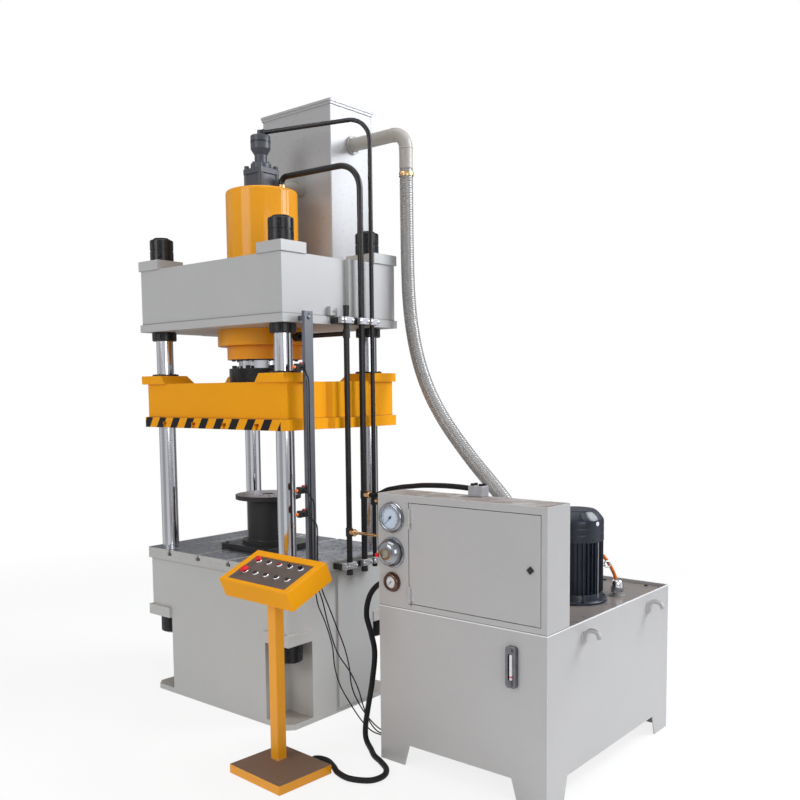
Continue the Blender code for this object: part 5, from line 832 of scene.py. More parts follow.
def lockNut(low, high, radius, centre, split):
    # a ring nut whose wall is cut by slots for a hook spanner: radius - depth * (slot mask of the angle)
    e, mid = 0.004, (low + high) / 2
    rows = [(0.0463, low), (radius - e, low), (radius, low + e), (radius, low + 0.010), (radius, low + 0.0102)]
    if split:
        rows += [(radius, mid - 0.0035), (radius - 0.004, mid - 0.0025),
            (radius - 0.004, mid + 0.0025), (radius, mid + 0.0035)]
    rows += [(radius, high - 0.0102), (radius, high - 0.010), (radius, high - e), (radius - e, high),
        (0.0463, high), (0.0463, low)]
    profile = np.array(rows)

    def shape(profile, angle):
        # six slots, 14 mm wide, between the plain end bands
        turn = (angle + 0.35) % (math.pi / 3) - math.pi / 6
        slot = np.abs(turn) < 0.115
        inside = (profile[:, 1] > low + 0.0101) & (profile[:, 1] < high - 0.0101)
        return 1 - 0.085 * (inside[:, None] & slot[None, :])

    return turned(profile, (*centre, 0), "z", 120, shape=shape)


def makeColumn(name, node, x, y):
    c = columns
    bar = turned([
        (0, c["top"] - 0.004), (0.008, c["top"]), (c["radius"] - 0.004, c["top"]), (c["radius"], c["top"] - 0.004),
        (c["radius"], c["bottom"] + 0.004), (c["radius"] - 0.004, c["bottom"]), (0, c["bottom"]),
    ], (x, y, 0), "z", 64)
    addPiece(name, bar, chrome, replaced=node)
    grip = []
    for px, py in ringOf(3, c["nut"] - 0.0062, 1.2, (x, y)):
        out = ((px - x), (py - y), 0)
        for level in (2.441, 2.500):
            at = np.array((px, py, level)) + unit(np.array(out)) * 0.0035
            grip.append(socketScrew(at, 0.0062, 0.0028, axis=out))
    addPiece(name + "Nuts", joined(
        lockNut(*c["topNut"], c["nut"], (x, y), True), lockNut(*c["headNut"], c["lowerNut"], (x, y), False),
        lockNut(*c["bedNut"], c["lowerNut"], (x, y), True), *grip), blackNut)


for deep, y in (("Front", -columns["y"]), ("Rear", columns["y"])):
    for side, x in (("Left", -columns["x"]), ("Right", columns["x"])):
        makeColumn("column" + deep + side, "column_" + deep.lower() + "_" + side.lower(), x, y)

# small block on the crosshead's right side, screw plugs on the slide's front
addPiece("crossheadSideBlock", joined(
    block(0.5650, 0.5905, -0.092, -0.042, 2.0655, 2.1135, 0.002),
    socketScrew((0.5905, -0.067, 2.09), 0.006, 0.004, "x")), crossGrey)
plugProfile = [(0, -0.001), (0.0035, -0.001), (0.0045, 0.0008), (0.0045, -0.006), (0, -0.006)]
plugs = [turned(plugProfile, (x, -0.3955, 1.602), (0, -1, 0), 14) for x in (-0.468, 0.318)]
addPiece("slidePlugs", joined(*plugs), blackSteel, body="slide")
print("press: bed, table, columns, crosshead and slide")

# Cylinder, ram and prefill valve

cylinder = {
    "radius": 0.1945, "bore": 0.160, "top": 2.770, "boreTop": 2.70, "flange": 0.256, "flangeLow": 1.936,
    "headLow": 2.0232, "gland": 0.206, "glandLow": 1.864, "glandTop": 1.9355, "boltTurn": 15,
}
ram = {"radius": 0.145, "piston": 0.1594, "low": 1.7385, "pistonLow": 2.480, "top": 2.620,
    "flange": 0.198, "flangeTop": 1.8158}


def makeCylinder():
    c = cylinder
    body = turned([
        (0, c["top"]), (c["radius"], c["top"]), (c["radius"], c["headLow"]), (c["flange"], c["headLow"]),
        (c["flange"], c["flangeLow"]), (c["bore"], c["flangeLow"]), (c["bore"], c["boreTop"]), (0, c["boreTop"]),
    ], around=96, ease=[0.014, 0.001, 0.001, 0.004, 0.002, 0.002])
    addPiece("mainCylinder", body, yellowGloss, replaced="main_cylinder")
    gland = turnedRing(0.1458, c["gland"], c["glandTop"], c["glandLow"], around=96)
    addPiece("cylinderGland", gland, yellowGloss, replaced="cylinder_gland")
    wiper = [(0.1454, 1.866), (0.158, 1.866), (0.158, 1.8605), (0.150, 1.8585), (0.1454, 1.8605), (0.1454, 1.866)]
    addPiece("glandWiper", turned(wiper, around=64), blackSteel)
    spots = ringOf(8, 0.1755, math.radians(c["boltTurn"]))
    bolts = [hexHead((x, y, 1.8643), 0.0105, 0.0095, (0, 0, -1), washer=False) for x, y in spots]
    addPiece("glandBolts", joined(*bolts), blackNut)


def makeRam():
    r = ram
    bar = turned([
        (0, r["top"]), (r["piston"], r["top"]), (r["piston"], r["pistonLow"]), (r["radius"], r["pistonLow"]),
        (r["radius"], r["low"]), (0, r["low"]),
    ], around=96, ease=[0.003, 0.002, 0.001, 0.001])
    addPiece("ram", bar, chrome, body="slide", replaced="ram")
    collar = turnedRing(0.1452, r["flange"], r["low"], r["flangeTop"], around=72)
    spots = ringOf(8, 0.1715, math.radians(cylinder["boltTurn"]))
    bolts = [socketScrew((x, y, r["flangeTop"]), 0.0135, 0.0160) for x, y in spots]
    addPiece("ramCollar", joined(collar, *bolts), blackNut, body="slide")


makeCylinder()
makeRam()

valve = {"half": 0.071, "low": 2.7703, "blockTop": 2.8903}


def makeValve():
    v = valve
    h, low, top = v["half"], v["low"], v["blockTop"]
    waist = slab(rect(-h + 0.007, h - 0.007, -h + 0.007, h - 0.007), low + 0.010, top - 0.018, 0.002, 0.006)
    shells = [waist, block(-h, h, -h, h, low, low + 0.020, 0.003, 0.008),
        block(-h, h, -h, h, top - 0.030, top, 0.003, 0.010)]
    for sx in (-1, 1):
        for sy in (-1, 1):
            x, y = sx * (h - 0.016), sy * (h - 0.016)
            shells.append(turnedRod(0.0155, top - 0.02, low + 0.01, (x, y, 0), "z", 24))
            shells.append(socketScrew((x, y, top), 0.0132, 0.0178))
    shells.append(turned([
        (0, 3.1003), (0.017, 3.1003), (0.017, 3.0703), (0.054, 3.0703), (0.054, 2.9983), (0.034, 2.9663),
        (0.034, 2.9203), (0.056, 2.9203), (0.056, 2.8890),
        (0, 2.8890)], around=56, ease=[0.003, 0.002, 0.006, 0.006, 0.004, 0.003, 0.003, 0.001]))
    shells += [socketScrew((x, y, 2.9203), 0.0065, 0.008) for x, y in ringOf(6, 0.046, 0.3)]
    addPiece("prefillValve", joined(*shells), slateGrey, replaced="prefill_valve")
    band = turnedRing(0.0535, 0.0548, 3.03, 3.04, around=56)
    gasket = slab(rect(-h + 0.002, h - 0.002, -h + 0.002, h - 0.002), 2.7702, 2.7718, 0.0004, 0.008)
    out = unit(np.array((0.626, 0.182, 0)))
    nipple = hexHead(np.array((0, 0, 3.086)) + out * 0.0165, 0.0148, 0.020, out, washer=True)
    addPiece("prefillValveFittings", joined(band, gasket, nipple), blackSteel)


makeValve()
print("press: cylinder, ram and prefill valve")

# Head tank with its suction pipe, fill elbow and hose clamp

headTank = {"x": 0.270, "front": 0.266, "rear": 0.609, "low": 2.3603, "top": 3.252, "over": 0.010}


def makeHeadTank():
    t = headTank
    shells = [
        block(-t["x"], t["x"], t["front"], t["rear"], t["low"], t["top"], 0.003, 0.006),
        block(-t["x"] - 0.006, t["x"] + 0.006, t["front"] - 0.006, t["rear"] + 0.006, t["top"] - 0.004,
            t["top"] + 0.010, 0.002, 0.006),
        block(-t["x"] - t["over"], t["x"] + t["over"], t["front"] - t["over"], t["rear"] + t["over"],
            t["top"] + 0.0096, 3.276, 0.002, 0.008),
    ]
    addPiece("headTank", joined(*shells), headTankGrey, replaced="head_tank")
    lidBolts = [hexHead((x, y, 3.2702), 0.0055, 0.0055, washer=False) for x in np.linspace(-0.255, 0.255, 5)
        for y in (0.274, 0.601)]
    addPiece("headTankBolts", joined(*lidBolts), zincPlate)
    pipe = joined(
        turnedRod(0.034, 0.0715, 0.262, (0.03, 0, 2.822), "y", 40, ease=0.001),
        turnedRing(0.034, 0.0425, 0.222, 0.2555, (0.03, 0, 2.822), "y", 40),
        turnedRing(0.034, 0.0415, 0.0722, 0.088, (0.03, 0, 2.822), "y", 40),
        turnedRod(0.0415, 0.256, 0.2665, (0.03, 0, 2.822), "y", 40, ease=0.002))
    addPiece("suctionPipe", pipe, beigePaint)


makeHeadTank()


fill = {"x": 0.657, "y": 0.440, "high": 3.058, "wall": 0.2703, "bend": 0.085}
hosePort = (1.600, 0.165, 0)


def makeFillElbow():
    x, y, high, wall = fill["x"], fill["y"], fill["high"], fill["wall"]
    path = route([(wall, y, high), (x, y, high), (x, y, 2.868)], fill["bend"], 18)

    def weld(at, axis):
        return turned(
            [(0.0360, -0.004), (0.0375, -0.003), (0.0386, 0), (0.0375, 0.003), (0.0360, 0.004)], at, axis, 40)

    flange = turnedRod(0.05, wall, 0.2843, (0, y, high), "x", 44, ease=0.0015)
    bolts = [hexHead((0.2843, py, pz), 0.0055, 0.006, "x", washer=False)
        for py, pz in ringOf(6, 0.0435, 0.3, (y, high))]
    welds = weld((0.572, y, high), "x"), weld((x, y, 2.973), "z"), weld((0.2865, y, high), "x")
    addPiece("fillElbow", joined(tube(path, 0.0363, 40), flange, *welds), beigePaint, replaced="fill_elbow")
    addPiece("fillFlangeBolts", joined(*bolts), zincPlate)
    band = turned([(0.0367, 2.826), (0.0392, 2.826), (0.0400, 2.832), (0.0400, 2.842), (0.0392, 2.848),
        (0.0367, 2.848), (0.0367, 2.826)], (x, y, 0), "z", 48)
    worm = joined(block(0.650, 0.664, 0.3945, 0.4045, 2.829, 2.845, 0.002),
        hexHead((0.664, 0.3995, 2.837), 0.005, 0.007, "x", washer=False))
    addPiece("hoseClampTop", joined(band, worm), brass)
    low = turnedRing(0.0367, 0.0395, 0.775, 0.793, hosePort, "z", 48)
    addPiece("hoseClampLow", joined(low, block(1.594, 1.606, 0.1185, 0.1285, 0.777, 0.791, 0.002)), zincPlate)


makeFillElbow()
print("press: head tank and fill elbow")

# Steel pipes down the right side, their nuts, clamps and the switch bar

pilotY, returnY, pressY = 0.182, 0.100, -0.016
levels = {
    "pilotTop": 3.086, "returnTop": 2.846, "pressingPort": 1.978,
    "pilotBranch": 1.108, "returnBranch": 1.148, "pressingBranch": 0.964,
}


def pipeNut(x0, x1, y, z, radius):
    # a fitting along X: collar, six-sided nut, ferrule
    mid = (x0 + x1) / 2
    return turned(
        [(0, x0), (radius * 0.8, x0), (radius * 0.8, mid - 0.010), (radius, mid - 0.009), (radius, mid + 0.009),
                   (radius * 0.86, mid + 0.011), (radius * 0.72, x1), (0, x1)], (0, y, z), "x", 30, shape=hexed(3, 5))


def makePipes():
    out = 0.0173 / math.hypot(pipeX, pilotY)
    addPiece("pilotPipe", joined(
        tube(route([(pipeX * out, pilotY * out, levels["pilotTop"]), (pipeX, pilotY, levels["pilotTop"]),
            (pipeX, pilotY, 0.755)], 0.120, 16), 0.0115, 24),
        tube(route([(pipeX, pilotY, levels["pilotBranch"]), (1.300, pilotY, levels["pilotBranch"]),
            (1.300, pilotY, 0.7043)], 0.05, 12), 0.0108, 20)),
        blackPipe, replaced="pilot_pipe")
    knee = (0.155, 0.0638, levels["returnTop"])
    rise = route([(0.095, 0.060, 2.7803), (0.095, 0.060, levels["returnTop"]), knee], 0.036, 12)
    fall = route([knee, (pipeX, returnY, levels["returnTop"]), (pipeX, returnY, 0.742)], 0.135, 18)
    addPiece("returnPipe", tube(np.vstack([rise[:-1], fall]), 0.0157, 28), blackPipe, replaced="return_pipe")
    addPiece("pressingPipe", joined(
        tube([(pipeX, pressY, 2.1195), (pipeX, pressY, 1.5), (pipeX, pressY, 0.740)], 0.0147, 28),
        tube([(pipeX, pressY, levels["pressingPort"]), (0.45, pressY, levels["pressingPort"]),
            (0.26, pressY, levels["pressingPort"])], 0.0120, 20),
        turnedRod(0.0165, 0, 0.02, (pipeX, pressY, 2.0995), "z", 28, ease=0.002),
        turnedRod(0.0245, 0.2575, 0.2975, (0, pressY, levels["pressingPort"]), "x", 30, ease=0.0015)),
        blackPipe, replaced="pressing_pipe")
    tees = [turnedRod(0.0185, -0.022, 0.022, (pipeX, y, z), "z", 28, ease=0.002)
            for y, z in ((returnY, levels["returnBranch"]), (pressY, levels["pressingBranch"]),
                (pilotY, levels["pilotBranch"]), (pressY, levels["pressingPort"]))]
    ends = [turnedRod(r + 0.0045, 0, 0.02, (pipeX, y, z), "z", 24, ease=0.0015)
            for y, z, r in ((pilotY, 0.7555, 0.0095), (returnY, 0.7425, 0.0135), (pressY, 0.7405, 0.0125))]
    addPiece("pipeTees", joined(*tees, *ends), blackSteel)
    addPiece("pipeNuts", joined(
        pipeNut(0.638, 0.6722, returnY, levels["returnBranch"], 0.0205),
        pipeNut(0.640, 0.6722, pressY, levels["pressingBranch"], 0.0205),
        pipeNut(0.640, 0.668, pilotY, levels["pilotBranch"], 0.0165),
        turned([(0, 2.7706), (0.019, 2.7706), (0.0205, 2.7725), (0.0205, 2.7925), (0.0185, 2.7945),
            (0.0185, 2.8045), (0, 2.8045)],
               (0.095, 0.060, 0), "z", 30, shape=hexed(2, 4)),
        hexHead((1.300, pilotY, 0.7045), 0.018, 0.020, washer=True)), brass)
    branch = route([(0.668, pressY, levels["pressingBranch"]), (1.200, pressY, levels["pressingBranch"]),
        (1.200, -0.1597, levels["pressingBranch"])], 0.04, 12)
    addPiece("pressingBranch", tube(branch, 0.0074, 18), brass)
    addPiece("gaugeFitting", turnedRod(0.0135, 0, 0.014, (1.2, -0.1597, levels["pressingBranch"]), "y", 24,
        shape=hexed(0, 4)), brightMetal)


makePipes()


def makeClamp(name, node, low, plate, finish):
    addPiece(name, slab(plate, low, low + 0.032, 0.0015, 0.002), blackSteel, replaced=node)
    inner, outer = 0.6255, 0.6500
    jaws = [slab(rect(inner, outer, *span), low + 0.001, low + 0.034, 0.003, 0.005)
            for span in ((0.150, 0.214), (0.064, 0.136), (-0.052, 0.018))]
    jaws.append(slab(rect(inner, outer, -0.077, -0.056), low + 0.001, low + 0.034, 0.002, 0.004))
    addPiece(name + "Jaws", joined(*jaws), finish)
    bolts = [hexHead((outer, y, low + 0.017), 0.0062, 0.0055, "x")
             for y in (0.207, 0.157, 0.128, 0.072, 0.0105, -0.045, -0.067)]
    addPiece(name + "Bolts", joined(*bolts), brightMetal)


steppedPlate = [(0.5738, -0.078), (0.6245, -0.078), (0.6245, 0.216), (0.6010, 0.216),
    (0.6010, 0.0355), (0.5738, 0.0355)]
makeClamp("upperPipeClamp", "pipe_clamp_upper", 2.027, steppedPlate, zincPlate)
makeClamp("lowerPipeClamp", "pipe_clamp_lower", 0.774, rect(0.5670, 0.6245, -0.078, 0.216), zincPlate)


def makeSwitchBar():
    shells = [block(0.612, 0.634, -0.318, -0.262, 0.765, 2.076, 0.0015)]
    for level, wall in ((2.044, 0.5738), (0.788, 0.5668)):
        shells += [block(wall, 0.614, -0.303, -0.277, level - 0.011, level + 0.011, 0.0015),
            hexHead((0.634, -0.290, level), 0.0085, 0.0055, "x")]
    shells += [turnedRing(0.0045, 0.0075, 0, 0.0006, (0.634, -0.29, 2.062), "x", 20)]
    addPiece("switchBar", joined(*shells), barSteel, replaced="switch_bar")
    # a black disc inside the ring is painted shade standing for the hole
    addPiece("barHoleShade", turnedRod(0.0046, 0, 0.0004, (0.634, -0.29, 2.062), "x", 20), blackSteel)
    for level, z in switchLevels.items():
        name = level + "Switch"
        body = joined(
            block(0.6055, 0.6285, -0.3665, -0.3185, z - 0.0165, z + 0.0165, 0.003),
            block(0.6050, 0.6290, -0.3703, -0.3480, z - 0.0170, z + 0.0170, 0.003),
            turnedRod(0.0055, 0, 0.0065, (0.6286, -0.34, z), "x", 18, ease=0.001),
            socketScrew((0.6285, -0.326, z + 0.009), 0.0028, 0.0015, "x"),
            socketScrew((0.6285, -0.326, z - 0.009), 0.0028, 0.0015, "x"))
        addPiece(name, body, blackPlastic, replaced=level + "_switch")
        addPiece(name + "Tip",
            turned([(0, 0.016), (0.005, 0.0155), (0.0078, 0.012), (0.0078, 0.002), (0.006, 0), (0, 0)],
                (0.617, -0.3703, z), (0, -1, 0), 24), orangePlastic)
        addPiece(name + "Cap", turned([(0, 0.0242), (0.0055, 0.0238), (0.0078, 0.0215), (0.0078, 0.017), (0, 0.017)],
            (0.617, -0.3325, z), "z", 24), redPlastic)


makeSwitchBar()
print("press: pipes, clamps and switches")

# Drawing die on the table

addPiece("diePlate", joined(
    block(-0.190, 0.190, -0.190, 0.190, 0.8196, 0.8496, 0.003, 0.006),
    *(socketScrew((x, y, 0.8496), 0.011, 0.006) for x in (-0.165, 0.165) for y in (-0.165, 0.165))),
    blackSteel, replaced="die_plate")
spool = turned([
    (0.030, 1.1199), (0.182, 1.1199), (0.182, 1.0959), (0.127, 1.0959), (0.117, 1.084), (0.117, 0.876),
    (0.122, 0.8679), (0.150, 0.8679), (0.150, 0.8499), (0.030, 0.8499), (0.030, 1.1199)], around=96)
addPiece("dieSpool", spool, castIron, replaced="die_spool")
rimSteel = makeMaterial("dieFace", drawnMetal, metal=rgb(0.36, 0.37, 0.41), stain=rgb(0.1, 0.1, 0.11), stained=0.6,
    rough=0.28, depth=0.4, metallic=0.85)
addPiece("dieFace",
    turned([(0.0305, 1.1196), (0.1785, 1.1196), (0.1795, 1.1199), (0.1785, 1.1201), (0.0305, 1.1201),
        (0.0305, 1.1196)], around=96), rimSteel)
print("press: die")

# Power unit: tank, cover, cabinet, door, gauges

unitBox = {"x0": 1.100, "x1": 1.970, "front": -0.337, "rear": 0.843}
oilyCover = makeMaterial("oilyCover", enamelSkin, paint=rgb(0.15, 0.145, 0.15), dust=rgb(0.22, 0.18, 0.15), dusty=0.7,
    worn=0.2, rough=0.22, peel=0.2, coat=0.25)
easedCopy("oil_tank", "oilTank", unitGrey, width=0.0014, segments=2, keep=lambda centre: centre[:, 0] < 1.9702)
easedCopy("valve_cabinet", "valveCabinet", unitGrey, width=0.0018, segments=2)


def makeDoor():
    # a folded sheet panel with two hinge knuckles on its left edge
    shells = [block(1.276, 1.938, -0.337, -0.321, 0.750, 1.196, 0.0016, 0.0035, axis="y")]
    for z in (0.796, 1.142):
        shells.append(
            turned([(0, 0.030), (0.0050, 0.030), (0.0060, 0.029), (0.0060, -0.029), (0.0050, -0.030), (0, -0.030)],
                (1.282, -0.344, z), "z", 24))
        shells.append(block(1.2795, 1.2995, -0.3395, -0.3365, z - 0.029, z + 0.029, 0.0006, 0.001, axis="y"))
    addPiece("cabinetDoor", joined(*shells), unitGrey, body="door", replaced="cabinet_door")


makeDoor()


def makeHooks():
    shells = []
    for y in (-0.040, 0.600):
        path = route([(1.981, y, 0.630), (1.981, y, 0.685), (2.045, y, 0.685), (2.045, y, 0.655)], 0.031, 14)
        radius = np.full(len(path), 0.0108)
        radius[0] = radius[-1] = 0.0088
        shells.append(tube(path, radius, 20))
        shells.append(slab(rect(y - 0.010, y + 0.010, 0.622, 0.676), 1.9690, 1.9812, 0.002, 0.003, axis="x"))
        # weld bead round the hook's root
        bead = np.array([(1.9715, y - 0.0112, z) for z in (0.626, 0.650, 0.672)])
        shells.append(tube(bead, 0.0026, 8))
        shells.append(tube(bead + (0, 0.0224, 0), 0.0026, 8))
    addPiece("liftingHooks", joined(*shells), unitGrey)


makeHooks()


def makeCover():
    u = unitBox
    shells = [slab(rect(u["x0"] + 0.007, u["x1"] - 0.007, u["front"] + 0.007, u["rear"] - 0.007),
        0.6942, 0.7040, 0.0015, 0.004)]
    port = turned([(0.0245, 0.699), (0.0355, 0.699), (0.0355, 0.7085), (0.0305, 0.7125), (0.0305, 0.7497),
        (0.0245, 0.7497), (0.0245, 0.699)],
                  hosePort, "z", 40)
    seat = turnedRing(0.149, 0.158, 0.7035, 0.7068, (1.722, 0.345, 0), "z", 72)
    addPiece("tankCover", joined(*shells, seat), oilyCover, replaced="tank_cover")
    addPiece("hosePort", port, zincPlate)
    heads = [hexHead((x, 0.808, 0.7040), 0.0078, 0.0068) for x in (1.20, 1.4233, 1.6467, 1.87)]
    addPiece("coverBolts", joined(*heads), blackSteel)


makeCover()
nodes["valve_manifold"].data.materials.clear()
nodes["valve_manifold"].data.materials.append(castIron)


easedCopy("door_latch", "latchCore", blackPlastic, body="latch", width=0.0006, segments=2)


gauges = {"x": 1.181, "gap": 0.0003, "system": 1.126, "contact": 0.969, "pilot": 0.835}


def gaugeAt(name):
    return (gauges["x"], unitBox["front"] - gauges["gap"], gauges[name])


def dialMaterial(name, centre, radius, face, ink, redFrom=None):
    # marks round a dial: the angle about the centre gives the tick, the distance gives its length
    material = bpy.data.materials.new(name)
    material.use_nodes = True
    tree = material.node_tree
    shader = tree.nodes["Principled BSDF"]
    at = objectPlace(tree)
    x, y, z = parts(tree, at)[:3]
    dx, dz = calc(tree, "SUBTRACT", x, centre[0]), calc(tree, "SUBTRACT", z, centre[2])
    away = calc(tree, "SQRT", calc(tree, "ADD", times(tree, dx, dx), times(tree, dz, dz)))
    away = calc(tree, "DIVIDE", away, radius)
    # the scale runs 270 degrees clockwise from the lower left
    turn = calc(tree, "ARCTAN2", dx, dz)
    turn = calc(tree, "DIVIDE", calc(tree, "ADD", turn, math.radians(135)), math.radians(270))
    inScale = between(tree, turn, -0.004, 1.004)

    def ticks(count, width, low, high):
        phase = calc(tree, "FRACT", calc(tree, "ADD", times(tree, turn, count), 0.5))
        near = calc(tree, "ABSOLUTE", calc(tree, "SUBTRACT", phase, 0.5))
        hit = calc(tree, "LESS_THAN", near, width)
        return times(tree, hit, between(tree, away, low, high))

    mark = calc(tree, "MAXIMUM", ticks(10, 0.045, 0.70, 0.90), ticks(50, 0.13, 0.80, 0.90))
    ring = between(tree, away, 0.895, 0.91)
    mark = times(tree, calc(tree, "MAXIMUM", mark, ring), inScale)
    stain = ramp(tree, noise(tree, at, 90, 3), 0.3, 0.7, 0.96, 1.03)
    shade = added(tree, "HueSaturation")
    sock(tree, shade.inputs["Value"], stain)
    shade.inputs["Color"].default_value = face
    color = shade.outputs[0]
    if redFrom is not None:
        red = times(tree, calc(tree, "GREATER_THAN", away, 0.92), calc(tree, "GREATER_THAN", turn, redFrom))
        red = times(tree, red, times(tree, inScale, calc(tree, "LESS_THAN", away, 0.965)))
        color = blendColor(tree, red, color, rgb(0.6, 0.02, 0.02))
    color = blendColor(tree, mark, color, ink)
    sock(tree, shader.inputs["Base Color"], color)
    sock(tree, shader.inputs["Roughness"], ramp(tree, noise(tree, at, 40, 2), 0.3, 0.7, 0.34, 0.42))
    return material


def makeGauges():
    front = (0, -1, 0)
    systemAt, contactAt, pilotAt = gaugeAt("system"), gaugeAt("contact"), gaugeAt("pilot")
    face = systemAt[1]
    bronze = makeMaterial("bronzeBezel", drawnMetal, metal=rgb(0.15, 0.085, 0.07), stain=rgb(0.05, 0.03, 0.025),
        stained=0.3, rough=0.22, depth=0.1, metallic=1.0)
    gaugeChrome = makeMaterial("gaugeChrome", drawnMetal, metal=rgb(0.34, 0.35, 0.38), stain=rgb(0.1, 0.1, 0.1),
        stained=0.2, rough=0.16, depth=0.1, metallic=1.0)
    # pressure gauge: flange, case with a rolled bezel, dial and window
    case = turned([
        (0.0488, 0.010), (0.0488, 0.0165), (0.0500, 0.0195), (0.0540, 0.0218), (0.0590, 0.0212), (0.0640, 0.0170),
        (0.0658, 0.0110), (0.0662, 0.0050), (0.0695, 0.0040), (0.0698, 0.0004), (0.0488, 0.0004),
        (0.0488, 0.010)], systemAt, front, 72)
    addPiece("systemGauge", case, gaugeChrome, replaced="system_gauge")
    addPiece("systemDial", turnedRod(0.0489, 0.013, 0.0118, systemAt, front, 72),
             dialMaterial("systemDial", systemAt, 0.049, rgb(0.56, 0.65, 0.78), rgb(0.05, 0.07, 0.12), 0.8))
    screwRing = ringOf(3, 0.0678, math.radians(90), (systemAt[0], systemAt[2]))
    screws = [socketScrew((x, face - 0.0040, z), 0.0022, 0.0018, front) for x, z in screwRing]
    addPiece("systemGaugeScrews", joined(*screws), blackSteel)
    # contact gauge: polished dome with a dark rim, a window ring in the middle and a red setting knob
    dome = turned([
        (0.018, 0.0500), (0.020, 0.0512), (0.030, 0.0508), (0.040, 0.0482), (0.046, 0.0455), (0.0505, 0.0405),
        (0.0555, 0.0345), (0.0590, 0.0255), (0.0602, 0.0180), (0.0608, 0.0085), (0.0632, 0.0078), (0.0636, 0.0050),
        (0.0690, 0.0040), (0.0697, 0.0004), (0.018, 0.0004), (0.018, 0.0500)],
        contactAt, front, 80)
    addPiece("contactGauge", dome, gaugeChrome, replaced="contact_gauge")
    addPiece("contactGaugeRim", turnedRing(0.0606, 0.0622, 0.01, 0.014, contactAt, front, 80), blackNut)
    addPiece("contactDial", turnedRod(0.0185, 0.0468, 0.0455, contactAt, front, 48),
             dialMaterial("contactDial", contactAt, 0.0180, rgb(0.30, 0.31, 0.24), rgb(0.02, 0.02, 0.02)))
    knobAt = (1.129, face - 0.0330, 0.957)

    def grip(profile, angle):
        return 1 - 0.05 * (np.cos(14 * angle) > 0)[None, :] * np.ones((len(profile), 1))

    knobProfile = [(0, 0.018), (0.0085, 0.0175), (0.0100, 0.0155), (0.0100, 0.004), (0.0075, 0.0), (0, 0.0)]
    knob = turned(knobProfile, knobAt, front, 28, shape=grip)
    stem = turnedRod(0.0045, 0.001, -0.008, knobAt, front, 20)
    addPiece("contactKnob", knob, redPlastic)
    addPiece("contactKnobStem", stem, brightMetal)
    # small gauge with a bronze bezel
    small = turned([
        (0.0268, 0.010), (0.0268, 0.0165), (0.0285, 0.0208), (0.0330, 0.0218), (0.0385, 0.0190), (0.0410, 0.0140),
        (0.0418, 0.0050), (0.0455, 0.0040), (0.0458, 0.0004), (0.0268, 0.0004), (0.0268, 0.010)], pilotAt, front, 60)
    addPiece("pilotGauge", small, bronze, replaced="pilot_gauge")
    addPiece("pilotDial", turnedRod(0.0269, 0.013, 0.0118, pilotAt, front, 48),
             dialMaterial("pilotDial", pilotAt, 0.027, rgb(0.72, 0.74, 0.76), rgb(0.04, 0.04, 0.04)))
    hand = [(-0.0016, 0.0), (-0.0006, 0.019), (0.0006, 0.019), (0.0016, 0.0), (0.0014, -0.006), (-0.0014, -0.006)]
    spin = math.radians(-135)
    blade = [(pilotAt[2] + z * math.cos(spin) - x * math.sin(spin),
        pilotAt[0] + x * math.cos(spin) + z * math.sin(spin)) for x, z in hand]
    pointer = slab(blade[::-1], face - 0.0152, face - 0.0146, 0.0001, axis="y", steps=1)
    hub = turnedRod(0.0028, 0.0165, 0.0131, pilotAt, front, 20)
    addPiece("pilotHand", joined(pointer, hub), blackPlastic)


makeGauges()
needleBlue = makeMaterial("needleBlue", grainySkin, skin=rgb(0.01, 0.016, 0.05), rub=rgb(0.1, 0.12, 0.2),
    rubbed=0.2, rough=0.35, grain=0.1)
easedCopy("system_pointer", "systemPointer", needleBlue, body="pointer", width=0)


def makeLevelGauge():
    front = -0.3373
    x0, x1, z0, z1 = 1.786, 1.836, 0.483, 0.655
    outline = roundCorners([(z0, x0), (z0, x1), (z1, x1), (z1, x0)], 0.013, 8)
    inner = roundCorners([(0.515, 1.7985), (0.515, 1.8235), (0.623, 1.8235), (0.623, 1.7985)], 0.005, 8)
    # the frame is one surface: outer wall, rounded front lip, then down into the recess
    rows = [(outline, front), (outline, front - 0.0175)]
    mid = outline + (outline.mean(0) - outline) * 0.035
    rows += [(mid, front - 0.0198), (inner, front - 0.0198), (inner, front - 0.0060)]
    rings = [np.stack([points[:, 1], np.full(len(points), y), points[:, 0]], 1) for points, y in rows]
    addPiece("levelGauge", lofted(rings), dullZinc, replaced="level_gauge")
    addPiece("levelRecess", slab([(0.5155, 1.799), (0.5155, 1.823), (0.6225, 1.823), (0.6225, 1.799)], front - 0.0066,
        front - 0.0055, 0.0002, axis="y"), blackSteel)
    tubeGlass = makeMaterial("levelGlass", drawnMetal, metal=rgb(0.8, 0.81, 0.83), stained=0.1,
        rough=0.12, depth=0.0, coat=0.8)
    addPiece("levelTube", turnedRod(0.0078, 0.5165, 0.6215, (1.811, front - 0.013, 0), "z", 28), tubeGlass)
    addPiece("levelMark", turnedRing(0.0078, 0.0081, 0.527, 0.533, (1.811, front - 0.013, 0), "z", 28), redPlastic)
    studs = []
    for z in (0.501, 0.637):
        studs.append(hexHead((1.811, front - 0.0190, z), 0.0108, 0.0070, (0, -1, 0)))
        studs.append(turned([(0, 0.0085), (0.0045, 0.0080), (0.0050, 0.0065), (0.0050, 0), (0, 0)],
            (1.811, front - 0.0195, z), (0, -1, 0), 18))
    addPiece("levelStuds", joined(*studs), dullZinc)


makeLevelGauge()

